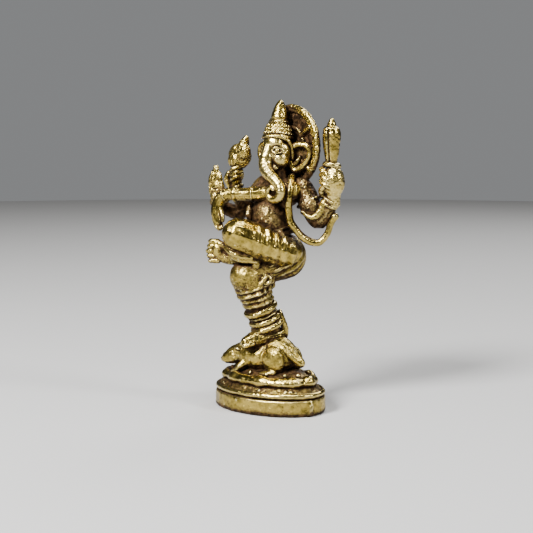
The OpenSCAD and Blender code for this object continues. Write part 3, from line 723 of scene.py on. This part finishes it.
# %% Torso
torso = melt("torso", [
    clay((1.0, -0.4, 56.4), (7.8, 7.8, 9.4)),
    clay((1.6, 3.0, 66.0), (5.6, 6.0, 9.4), (1, 0, 0)),
    stroke((1.6, 3.0, 68.0, 4.4), (1.4, 2.8, 73.0, 3.6), (1.2, 2.6, 76.0, 3.6)),
    clay((3.4, -3.4, 64.6), (3.6, 2.6, 3.0)),
    clay((-2.8, -3.0, 65.0), (3.6, 2.6, 3.0))], 0.09, 5)
rows = points_of(torso)
thread = [spot(7.0, -2.4, 69.0), spot(5.6, -6.4, 62.6), spot(3.4, -8.2, 57.6),
          spot(-1.2, -8.4, 52.6)]
fold = [spot(8.4, -3.6, 60.8), spot(5.0, -7.4, 61.4), spot(0.8, -8.2, 61.0),
        spot(-4.0, -6.8, 61.0)]
relief(torso, near(rows, thread, 0.24), 0.16)
relief(torso, near(rows, fold, 0.3), -0.12)
relief(torso, near(rows, [spot(1.8, -8.2, 55.6), spot(2.0, -8.2, 55.4)], 0.3), -0.25)
hand_over(torso, (0.16, 0.12, 0.06), dark_patina_shade_brass, "belly", "chest", "neck", slot=PATINATED)

pendant = melt("thread_end", [
    stroke((-3.6, -7.4, 61.0, 0.9), (-3.2, -8.0, 58.6, 1.3), (-3.0, -7.9, 56.6, 0.9)),
    clay((-3.4, -7.6, 60.0), (1.3, 1.0, 1.0))], 0.06, 1)
hand_over(pendant, (0.1, 0.12, 0.05), dark_patina_shade_brass)

# %% Girdle
girdle_axis = Vector((-1.2, -2.2, 10))
girdle_bits = hoop(spot(2.2, 0.8, 51.6), girdle_axis, 6.9 * share, 0.3, flat=1.3)
girdle_bits += hoop(spot(2.0, 0.4, 53.6), girdle_axis, 7.0 * share, 0.16)
girdle_bits += [stroke((7.6, -3.4, 52.6, 1.1), (8.4, -3.2, 50.6, 1.3), (8.8, -3.2, 48.8, 1.0)),
                stroke((5.2, -6.2, 53.2, 1.0), (5.6, -6.6, 51.8, 1.2))]
girdle = melt("girdle", girdle_bits, 0.07, 2)
hand_over(girdle, (0.12, 0.12, 0.06), dark_patina_shade_brass)

# %% [markdown]
# ## The head
# An elephant's head looks a little to the figure's right. Skull, cheeks and the root of the
# trunk are melted into one form, with a brow over each lidded eye and a short lower lip. The
# trunk is its own rod: it leaves the face, swings left over the chest and curls up.

# %% Head
head_middle = Vector((0.9, 2.3, 79.6))
head_bits = [
    clay((1.5, 2.7, 81.0), (5.5, 5.5, 6.0)),
    clay((1.6, 0.3, 84.2), (4.2, 3.4, 3.4)),
    clay((1.2, -0.2, 80.4), (3.8, 3.4, 4.4)),
    clay((4.2, 0.8, 78.4), (3.2, 3.4, 3.6)),
    clay((-0.9, 1.6, 78.4), (3.0, 3.0, 3.6)),
    stroke((1.0, -0.8, 82.6, 2.8), (0.8, -2.3, 79.6, 2.6), (0.7, -3.0, 76.8, 2.5)),
    stroke((3.2, -0.4, 76.2, 1.8), (3.4, -1.4, 75.2, 1.4)),
]
head = melt("head", head_bits, 0.06, 5)
rows = points_of(head)
brow = [spot(3.0, -3.8, 83.8), spot(5.1, -2.6, 84.5), spot(7.0, -0.2, 83.6)]
brow_right = [spot(-3.0, -1.6, 84.8), spot(-4.4, 0.4, 85.2), spot(-4.6, 2.4, 84.6)]
socket = [spot(4.2, -3.0, 81.9), spot(5.7, -1.8, 81.6), spot(6.8, -0.2, 81.8)]
socket_right = [spot(-3.0, -1.4, 82.9), spot(-3.8, 0.2, 82.6), spot(-4.4, 1.6, 82.8)]
relief(head, near(rows, socket, 0.34) + near(rows, socket_right, 0.34), -0.3)
relief(head, near(rows, brow, 0.22) + near(rows, brow_right, 0.22), 0.14)
hand_over(head, (0.08, 0.03, 0.0), face_brass)

# %% Eyes
UPPER_LID = ((-1.6, -1.0, -0.1, 0.28), (-0.3, -0.8, 1.0, 0.34), (1.2, 0.5, 0.7, 0.32),
             (2.0, 1.5, -0.2, 0.26))
LOWER_LID = ((-1.6, -1.0, -0.2, 0.26), (-0.1, -0.7, -1.0, 0.28), (1.1, 0.5, -0.8, 0.26),
             (2.0, 1.5, -0.3, 0.24))
eye_bits = []
for side, middle in ((1, (5.1, -2.2, 81.6)), (-1, (-3.5, 0.4, 81.6))):
    x, y, z = middle
    eye_bits.append(clay(middle, (1.0, 1.0, 0.8)))
    for lid in UPPER_LID, LOWER_LID:
        eye_bits.append(stroke(*[(x + out * side, y + back, z + up, thick)
                                 for out, back, up, thick in lid]))
eyes = melt("eyes", eye_bits, 0.04, 1)
hand_over(eyes, None, rubbed_brass)

# %% Trunk
trunk_line = [(0.8, -2.6, 79.4, 2.6), (0.8, -3.3, 76.8, 2.6), (2.0, -4.4, 74.7, 2.4),
              (4.4, -5.3, 72.8, 2.2), (7.4, -5.8, 71.0, 2.05), (9.6, -6.1, 68.8, 1.85),
              (10.3, -6.4, 66.6, 1.65), (9.2, -6.6, 64.7, 1.5), (6.8, -6.7, 64.2, 1.35),
              (5.0, -6.7, 65.6, 1.2), (5.0, -6.8, 67.6, 1.05), (6.4, -6.9, 68.6, 0.95),
              (7.6, -6.9, 67.9, 0.85)]
trunk = melt("trunk", [stroke(*trunk_line, sides=8)], 0.06, 3)
rows = points_of(trunk)
wrinkles = np.zeros(len(rows))
path = through([spot(*p[:3]) for p in trunk_line], 6)
for k in range(3, 44, 3):
    a, b = path[k], path[min(k + 1, len(path) - 1)]
    step = (b - a) / np.linalg.norm(b - a)
    close = np.linalg.norm(rows - a, axis=1) < 1.15
    wrinkles += close * np.exp(-(((rows - a) @ step) / 0.09) ** 2)
relief(trunk, np.clip(wrinkles, 0, 1), -0.02)
work(trunk, "SMOOTH", factor=0.5, iterations=3)
hand_over(trunk, (0.07, 0.0, 0.0), face_brass)

# %% [markdown]
# ## The ears
# Each ear is a thin fan with a thick rolled rim, hollow in front and standing out beside the
# head. The plate starts as a disc whose corners are moved to the outline. It is extruded to its
# thickness and set back behind the rim.

# %% Ears
EAR_OUTLINE = [(-0.35, -0.25), (0.05, -0.8), (0.55, -0.56), (1.0, -0.02), (1.12, 0.52),
               (0.78, 0.9), (0.2, 0.88), (-0.3, 0.6)]


def ear(name, side):
    half = 5.4
    outline = through([(x * half, y * half, 0) for x, y in EAR_OUTLINE], 4)
    drop_selection()
    bpy.ops.mesh.primitive_circle_add(vertices=len(outline), radius=1, fill_type="NGON")
    plate = bpy.context.object
    for vertex, (x, y, _) in zip(plate.data.vertices, outline):
        vertex.co = (x * share, y * share, -1.5 * share)
    bpy.ops.object.mode_set(mode="EDIT")
    bpy.ops.mesh.select_all(action="SELECT")
    bpy.ops.mesh.extrude_region_move(TRANSFORM_OT_translate={"value": (0, 0, -1.0 * share)})
    face_outwards()
    rim = rod([(x * share, y * share, -0.2 * share, 1.15 * share) for x, y, _ in outline[::2]], 2)
    inner = rod([(x * share, y * share, -1.1 * share, size * share) for x, y, size in
                 ((-1.2, -3.2, 1.0), (0.6, -1.6, 1.0), (1.8, 0.4, 0.7))], 4)
    whole = melt(name, [plate, rim, inner], 0.06, 2)
    middle = Vector(spot(head_middle.x + side * 5.9 + 0.9, head_middle.y + 2.2,
                         head_middle.z - 0.9))
    stand(whole, sizes=(side, 1, 1))
    if side < 0:
        take(whole)
        bpy.ops.object.mode_set(mode="EDIT")
        face_outwards()
    stand(whole, middle, turn=(math.pi / 2, 0, math.radians(16 * side)))
    hand_over(whole, (0.1, 0.06, 0.02), rubbed_brass, name, name + "_rim")


ear("left_ear", 1)
ear("right_ear", -1)

# %% [markdown]
# ## Crown and halo
# The cap is a turned form leaning back a little, with a rolled band across the brow, rows of
# small bosses and a pointed finial. Behind the head stands a round halo: a thick pitted rim, a
# beaded inner border, an inner ring and five rays over dark sunk panels.

# %% Crown
crown_foot, crown_tip = spot(1.3, 3.0, 86), spot(1.3, 4.6, 99.6)
crown_axis = crown_tip - crown_foot
r = 5.3 * share


def up_crown(levels):
    """A turned form that stands on the crown's foot along its axis."""
    return stand(turned([(a * r, a * r, h * share) for a, h in levels]), crown_foot, crown_axis)


def bosses(count, radius, height, size):
    """A row of small bosses round the crown."""
    turn = crown_axis.to_track_quat("Z", "Y")
    found = []
    for k in range(count):
        angle = 2 * math.pi * (k + 0.5 * (height > 3)) / count
        out = turn @ Vector((math.cos(angle) * radius * r, math.sin(angle) * radius * r,
                             height * share))
        found.append(lump(crown_foot + out, (size * share,) * 3, segments=12))
    return found


band = hoop(crown_foot + crown_axis.normalized() * 0.2 * share, crown_axis, 0.9 * r, 0.34)
band += bosses(40, 0.96, 0.4, 0.5)
band.append(stroke((-3.6, 0.8, 86.2, 0.7), (1.0, -2.5, 86.6, 0.7), (5.0, -0.8, 86.4, 0.7),
                   (6.9, 2.2, 84.8, 0.75), (7.2, 4.0, 81.6, 0.75), (6.8, 4.6, 78.6, 0.7)))
band = melt("crown_band", band, 0.06, 1)
hand_over(band, (0.1, 0.1, 0.05), pitted_brass)

cap_bits = [up_crown([(0.7, -1.5), (0.9, 0.2), (0.97, 1.4), (0.95, 2.6), (0.86, 3.8), (0.72, 4.8),
                      (0.6, 5.6), (0.5, 6.2)])]
cap_bits += bosses(26, 0.95, 1.5, 0.55) + bosses(22, 0.88, 2.9, 0.55) + bosses(18, 0.76, 4.2, 0.5)
cap = melt("crown_cap", cap_bits, 0.06, 1)
hand_over(cap, (0.12, 0.14, 0.08), pitted_brass)

finial = melt("crown_finial", [up_crown([
    (0.4, 4.8), (0.62, 5.2), (0.68, 5.7), (0.62, 6.2), (0.5, 6.5), (0.55, 7.4), (0.52, 8.8),
    (0.44, 10.4), (0.31, 12.2), (0.19, 13.2), (0.06, 13.8)])], 0.06, 2)
dimple = [spot(3.5, 2.0, 94.6), spot(3.6, 2.1, 94.8)]
relief(finial, near(points_of(finial), dimple, 0.3), -0.28)
hand_over(finial, (0.12, 0.08, 0.03), rubbed_brass)

# %% Halo
halo_middle = spot(3.1, 8.6, 82.9)
HALO_TURN = (math.pi / 2, 0, math.radians(-10))
halo_low, halo_high = box_mm("halo_rim")
halo_r = (halo_high.z - halo_low.z) / 2
inner_r = halo_r - 2.4 * share


def flat_ring(radius, wire, height=0.0, flat=1.0):
    drop_selection()
    bpy.ops.mesh.primitive_torus_add(major_radius=radius, minor_radius=wire, major_segments=120,
                                     minor_segments=16, location=(0, 0, height))
    return stand(bpy.context.object, (0, 0, height), sizes=(1, 1, flat))


def dotted_ring(radius, count, size, stretch=1.0, height=0.0):
    """Small bosses in a circle, each stretched along the radius."""
    found = []
    for k in range(count):
        angle = 2 * math.pi * k / count
        boss = lump((0, 0, 0), (size * stretch, size, size), segments=10)
        found.append(stand(boss, (radius * math.cos(angle), radius * math.sin(angle), height),
                           turn=(0, 0, angle)))
    return found


rim_bits = [flat_ring(halo_r - 0.42, 0.42, 0, 1.0), flat_ring(halo_r - 0.78, 0.3, 0.1)]
rim_bits += dotted_ring(inner_r - 0.02, 64, 0.13, 1.5, 0.12)
halo_rim = stand(melt("halo_rim", rim_bits, 0.075, 2), halo_middle, turn=HALO_TURN)
hand_over(halo_rim, (0.14, 0.14, 0.08), pitted_brass)

plate_bits = [turned([(inner_r, inner_r, -0.5), (inner_r + 0.1, inner_r + 0.1, -0.4),
                      (inner_r + 0.1, inner_r + 0.1, -0.12), (inner_r, inner_r, -0.05)], 96)]
plate_bits += dotted_ring(inner_r * 0.84, 46, 0.13, 4.0, -0.03)
plate_bits += dotted_ring(inner_r * 0.62, 34, 0.12, 2.4, -0.03)
halo_disc = stand(melt("halo_disc", plate_bits, 0.08, 1), halo_middle, turn=HALO_TURN)
hand_over(halo_disc, (0.1, 0.12, 0.06), soot_brass, slot=PATINATED)

hub = halo_r * 0.46
ray_bits = [flat_ring(hub, 0.28, 0.08)]
for k in range(5):
    angle = math.radians(34 + 72 * k)
    c, s = math.cos(angle), math.sin(angle)
    ray_bits.append(rod([(c * radius, s * radius, 0.14, wire) for radius, wire in
                         ((hub, 0.4), ((hub + inner_r) / 2, 0.36), (inner_r, 0.44))]))
rays = stand(melt("halo_spokes", ray_bits, 0.075, 2), halo_middle, turn=HALO_TURN)
hand_over(rays, (0.12, 0.1, 0.05), rubbed_brass)

# %% [markdown]
# ## The arms
# Four arms. The front left one is thrown across the chest and its hand hangs down. The front
# right hand is raised with its palm to the viewer. The two behind hold a lotus bud and an axe,
# and wear bangles and arm bands.

# %% Front left arm
arm = melt("front_left_arm", [
    stroke((9.2, 1.4, 67.4, 3.7), (7.8, -1.2, 67.4, 3.2), (4.0, -4.2, 66.6, 2.8),
           (-3.0, -6.4, 65.8, 2.55), (-9.0, -8.2, 65.6, 2.35), (-12.4, -9.2, 65.6, 2.3)),
    *hoop(spot(-9.4, -8.3, 65.6), (-18, -6.4, -0.8), 2.5 * share, 0.17, flat=1.6),
    *hoop(spot(-2.6, -6.3, 65.9), (-18, -6.4, -0.8), 2.62 * share, 0.12)], 0.07, 3)
hand_over(arm, (0.12, 0.04, 0.0), rubbed_brass)

hand_bits = [stroke((-12.0, -9.0, 65.6, 2.4), (-14.8, -10.0, 64.0, 2.4), (-16.0, -10.8, 61.0, 2.3),
                    (-15.6, -11.6, 58.0, 2.1), (-14.4, -12.0, 55.4, 1.6))]
for k in range(4):
    off = (k - 1.5) * 0.75
    tip = 52.6 + 0.5 * abs(k - 1.5)
    hand_bits.append(stroke((-15.9 + off * 0.8, -11.4 + off * 0.6, 59.4, 0.75),
                            (-15.0 + off * 0.8, -12.0 + off * 0.6, 56.0, 0.72),
                            (-13.4 + off * 0.7, -12.5 + off * 0.5, tip, 0.55)))
hand_bits.append(stroke((-14.4, -11.2, 60.8, 0.9), (-12.8, -11.6, 58.0, 0.8),
                        (-12.2, -12.0, 56.0, 0.6)))
hand_bits += hoop(spot(-13.6, -9.6, 65.0), (-2.8, -1.0, -1.6), 2.4 * share, 0.16)
hand = melt("front_left_hand", hand_bits, 0.055, 2)
hand_over(hand, (0.08, 0.04, 0.0), rubbed_brass)

# %% Front right arm and raised palm
arm = melt("front_right_arm", [
    stroke((-5.9, 2.4, 68.2, 3.2), (-9.6, 0.2, 63.0, 3.0), (-12.6, -2.1, 58.6, 2.9),
           (-16.8, -4.4, 59.8, 2.5), (-20.8, -6.4, 62.2, 2.2)),
    *hoop(spot(-19.4, -5.8, 61.4), (-8.4, -4.5, 3.6), 2.4 * share, 0.2),
    *hoop(spot(-17.6, -4.9, 60.3), (-8.4, -4.5, 3.6), 2.5 * share, 0.18)], 0.08, 3)
# This arm lies in shade behind the front left one: its darker material is partly painted shade.
hand_over(arm, (0.14, 0.1, 0.06), dark_patina_shade_brass, slot=PATINATED)

palm_bits = [clay((-20.9, -6.4, 67.0), (3.1, 1.3, 4.6)),
             stroke((-20.6, -6.2, 61.6, 2.0), (-20.8, -6.4, 64.4, 2.1))]
for k, top in enumerate((73.6, 75.4, 75.2, 73.2)):
    x = -22.9 + 1.35 * k
    palm_bits.append(stroke((x, -6.8 + 0.2 * k, 68.0, 0.85), (x + 0.1, -6.8 + 0.2 * k, 71.4, 0.85),
                            (-20.9 + (x + 20.9) * 0.55, -6.3 + 0.15 * k, top, 0.62)))
palm_bits.append(stroke((-18.6, -6.4, 64.6, 1.0), (-17.7, -6.2, 67.0, 0.9),
                        (-17.9, -6.2, 69.4, 0.7)))
palm = melt("front_right_hand", palm_bits, 0.055, 1)
rows = points_of(palm)
lines = [[spot(-23.4, -7.8, 68.4), spot(-20.6, -7.9, 67.0), spot(-18.6, -7.6, 67.4)],
         [spot(-22.8, -7.8, 65.6), spot(-20.8, -7.9, 66.2), spot(-19.6, -7.8, 63.8)]]
relief(palm, sum(near(rows, line, 0.12) for line in lines), -0.12)
hand_over(palm, (0.1, 0.14, 0.08), pitted_brass)

# %% Rear left arm, hand and lotus bud
arm = melt("rear_left_arm", [
    stroke((10.8, 5.4, 68.2, 3.9), (13.6, 6.4, 62.4, 3.9), (16.4, 7.4, 56.6, 3.4),
           (19.6, 8.2, 59.6, 2.9), (22.0, 8.8, 64.6, 2.6)),
    clay((14.2, 5.6, 62.0), (4.2, 3.9, 5.4), (5.8, 2.2, -12))], 0.08, 3)
hand_over(arm, (0.2, 0.16, 0.1), dark_patina_shade_brass, slot=PATINATED)

hand_bits = [clay((22.4, 8.4, 70.4), (4.3, 4.1, 5.9)),
             stroke((22.0, 8.8, 63.0, 2.7), (22.0, 8.8, 67.0, 3.0))]
for k in range(3):
    z = 69.4 + 2.1 * k
    hand_bits.append(stroke((18.6, 7.0, z + 1.6, 0.8), (19.8, 5.2, z + 1.2, 1.0),
                            (21.6, 4.6, z + 0.2, 1.0), (23.0, 4.9, z - 0.9, 0.8)))
hand_bits.append(stroke((19.2, 6.6, 65.6, 1.2), (19.7, 5.2, 67.4, 1.2), (21.0, 4.6, 68.6, 0.9)))
hand_bits += hoop(spot(21.6, 8.8, 76.4), (0.1, 0.1, 1), 2.3 * share, 0.42)
hand = melt("rear_left_hand", hand_bits, 0.065, 2)
hand_over(hand, (0.12, 0.1, 0.04), face_brass)

elbow, wrist, shoulder = spot(16.6, 7.6, 56), spot(22, 8.8, 64.6), spot(10.8, 5.4, 68.2)
fore, upper_arm = wrist - elbow, elbow - shoulder
bands = hoop(elbow.lerp(wrist, 0.74), fore, 2.8 * share, 0.24)
bands += hoop(elbow.lerp(wrist, 0.92), fore, 2.75 * share, 0.26, lobes=16)
bands += hoop(shoulder.lerp(elbow, 0.42), upper_arm, 4.0 * share, 0.3, lobes=18)
bands += hoop(shoulder.lerp(elbow, 0.6), upper_arm, 4.0 * share, 0.24)
bands.append(stroke((13.4, 2.6, 59.6, 0.9), (16.4, 3.6, 57.6, 1.2), (18.8, 5.2, 59.4, 1.4),
                    (20.2, 6.0, 63.2, 1.3)))
bands = melt("rear_left_bands", bands, 0.07, 1)
hand_over(bands, (0.12, 0.1, 0.05), pitted_brass)

bud_foot = spot(21.4, 8.8, 76.0)
bud_length = box_mm("lotus_bud")[1].z + 0.35 - bud_foot.z
bud = stand(turned([(f * share, f * share, h * bud_length) for f, h in (
    (1.4, -0.04), (2.0, 0.04), (2.3, 0.16), (2.9, 0.34), (3.3, 0.54), (3.3, 0.68), (2.9, 0.78),
    (2.0, 0.83), (1.6, 0.87), (1.2, 0.92), (0.8, 0.97), (0.2, 1.0))]), bud_foot)
bud = melt("lotus_bud", [bud], 0.06, 2)
rows = points_of(bud) - np.array(bud_foot)
turn = np.arctan2(rows[:, 1], rows[:, 0])
rise = rows[:, 2] / bud_length
seams = np.exp(-(np.sin(1.5 * (turn + 1.35)) / 0.2) ** 2)
relief(bud, seams * (rise > 0.06) * (rise < 0.78), -0.26)
relief(bud, np.exp(-((rise - 0.84) / 0.02) ** 2), -0.1)
hand_over(bud, (0.12, 0.08, 0.03), rubbed_brass)

# %% Rear right arm, hand and axe
arm = melt("rear_right_arm", [
    stroke((-7.4, 5.2, 69.0, 3.2), (-12.6, 5.8, 64.2, 3.1), (-17.2, 6.2, 60.2, 2.8),
           (-19.8, 5.8, 63.4, 2.5), (-21.2, 5.2, 67.6, 2.2))], 0.08, 3)
hand_over(arm, (0.16, 0.12, 0.08), dark_patina_shade_brass, slot=PATINATED)

hand_bits = [clay((-20.4, 5.2, 72.0), (2.5, 2.5, 3.2)),
             stroke((-23.0, 3.6, 68.0, 1.0), (-23.8, 3.2, 70.6, 1.2), (-22.8, 3.4, 72.8, 1.0)),
             stroke((-21.0, 5.2, 67.4, 2.0), (-20.6, 5.2, 70.4, 2.2))]
for k in range(3):
    z = 70.6 + 1.7 * k
    hand_bits.append(stroke((-22.0, 3.6, z - 0.9, 0.7), (-20.4, 2.8, z, 0.85 + 0.1 * k),
                            (-18.8, 3.4, z + 0.9, 0.8), (-18.2, 5.2, z + 1.3, 0.7)))
hand = melt("rear_right_hand", hand_bits, 0.06, 1)
hand_over(hand, (0.12, 0.12, 0.05), pitted_brass)

elbow, wrist, shoulder = spot(-17.4, 6.2, 59.8), spot(-21.2, 5.2, 67.6), spot(-7.4, 5.2, 69)
fore, upper_arm = wrist - elbow, elbow - shoulder
bands = hoop(elbow.lerp(wrist, 0.7), fore, 2.5 * share, 0.3)
bands += hoop(elbow.lerp(wrist, 0.92), fore, 2.4 * share, 0.26)
bands += hoop(shoulder.lerp(elbow, 0.55), upper_arm, 3.3 * share, 0.28, lobes=16)
bands = melt("rear_right_bands", bands, 0.07, 1)
hand_over(bands, (0.12, 0.12, 0.05), pitted_brass)

axe_bits = [stroke((-20.2, 5.2, 72.0, 1.1), (-19.6, 5.3, 77.0, 1.1)),
            clay((-19.2, 5.4, 79.0), (5.2, 2.6, 4.9)),
            clay((-20.4, 4.2, 77.6), (3.2, 2.2, 3.2)),
            clay((-16.6, 4.6, 80.4), (3.0, 2.2, 3.4)),
            stroke((-17.6, 5.2, 82.4, 2.2), (-16.8, 5.5, 84.4, 1.7), (-16.2, 5.7, 85.6, 1.1)),
            stroke((-22.6, 5.4, 77.0, 0.9), (-23.2, 5.4, 79.6, 1.0), (-21.6, 5.4, 82.6, 0.9))]
axe = melt("axe", axe_bits, 0.065, 1)
hand_over(axe, (0.16, 0.18, 0.1), pitted_brass)

# %% [markdown]
# ## The scarf
# A narrow stole falls from the left shoulder, swings out in a loop beside the raised thigh and
# ends in a small knob by the rear elbow. It is two rods side by side melted into a flat ribbon,
# so its outer edge catches the light and the inner one stays dark.

# %% Scarf
scarf_line = [(7.0, 4.4, 72.0), (9.4, 0.6, 71.6), (11.2, -2.0, 69.2), (11.5, -3.0, 66.0),
              (11.1, -3.0, 62.0), (11.0, -2.4, 58.0), (11.8, -1.6, 54.8), (14.4, 2.0, 50.0),
              (17.8, 5.6, 48.4), (20.2, 7.6, 51.4), (21.4, 8.4, 55.2), (22.6, 8.8, 57.6)]
outer = stroke(*[(x, y, z, 1.2) for x, y, z in scarf_line], sides=6)
inner = stroke(*[(x - 0.5, y + 1.3, z + 0.3, 1.0) for x, y, z in scarf_line[1:-1]], sides=6)
knob = clay((22.9, 8.9, 58.0), (1.5, 1.5, 1.4))
scarf = melt("scarf", [outer, inner, knob], 0.065, 3)
hand_over(scarf, (0.1, 0.07, 0.03), rubbed_brass)

# %% [markdown]
# ## Stage, light and camera
# A plain pale floor under a dim even sky. A strong soft light stands in front and above, weaker
# ones to the left, overhead and behind, which gives the metal broad highlights and dark sides.

# %% Stage
drop_selection()
bpy.ops.mesh.primitive_circle_add(vertices=96, radius=0.5, fill_type="NGON")
floor = bpy.context.object
floor.name = "floor"
paper = bpy.data.materials.new("pale_paper")
paper.use_nodes = True
sheet = paper.node_tree.nodes["Principled BSDF"]
sheet.inputs["Base Color"].default_value = (0.38, 0.376, 0.37, 1)
sheet.inputs["Roughness"].default_value = 0.9
floor.data.materials.append(paper)

# %% Lights
AIM = Vector((-0.36, -0.30, 20.07)) * MM


def looking(azimuth, elevation):
    """The way from the figure to the viewer. Azimuth 0 is its front, 90 its left side."""
    a, e = math.radians(azimuth), math.radians(elevation)
    return Vector((math.sin(a) * math.cos(e), -math.cos(a) * math.cos(e), math.sin(e)))


def soft_light(name, azimuth, elevation, distance, size, power):
    way = looking(azimuth, elevation)
    drop_selection()
    bpy.ops.object.light_add(type="AREA", location=AIM + way * distance)
    lamp = bpy.context.object
    lamp.name = name
    lamp.data.shape = "DISK"
    lamp.data.size = size
    lamp.data.energy = power
    lamp.rotation_euler = way.to_track_quat("Z", "Y").to_euler()


# name, azimuth, elevation, distance and size in metres, power in watts
soft_light("key", -2, 40, 0.34, 0.1, 4.0)
soft_light("right", 100, 30, 0.36, 0.07, 0.9)
soft_light("top", 50, 78, 0.36, 0.12, 1.2)
soft_light("back", 190, 40, 0.4, 0.16, 0.7)

world = bpy.data.worlds.new("soft_room")
bpy.context.scene.world = world
world.use_nodes = True
background = world.node_tree.nodes["Background"]
background.inputs["Color"].default_value = (0.92, 0.94, 0.96, 1)
rays = world.node_tree.nodes.new("ShaderNodeLightPath")
level = world.node_tree.nodes.new("ShaderNodeMapRange")
GLOW, BACKDROP = 0.07, 0.25                     # what lights the figure, what the camera sees
level.inputs[3].default_value, level.inputs[4].default_value = GLOW, BACKDROP
world.node_tree.links.new(rays.outputs["Is Camera Ray"], level.inputs[0])
world.node_tree.links.new(level.outputs[0], background.inputs["Strength"])

# %% Camera
CAMERA_DISTANCE = 180 * MM
SENSOR, LENS_PER_SENSOR = 36, 1280 / 533
way = looking(40, 6.4)
drop_selection()
bpy.ops.object.camera_add(location=AIM + way * CAMERA_DISTANCE)
camera = bpy.context.object
camera.rotation_euler = way.to_track_quat("Z", "Y").to_euler()
camera.data.sensor_width = SENSOR
camera.data.lens = SENSOR * LENS_PER_SENSOR
camera.data.clip_start = 0.01
bpy.context.scene.camera = camera
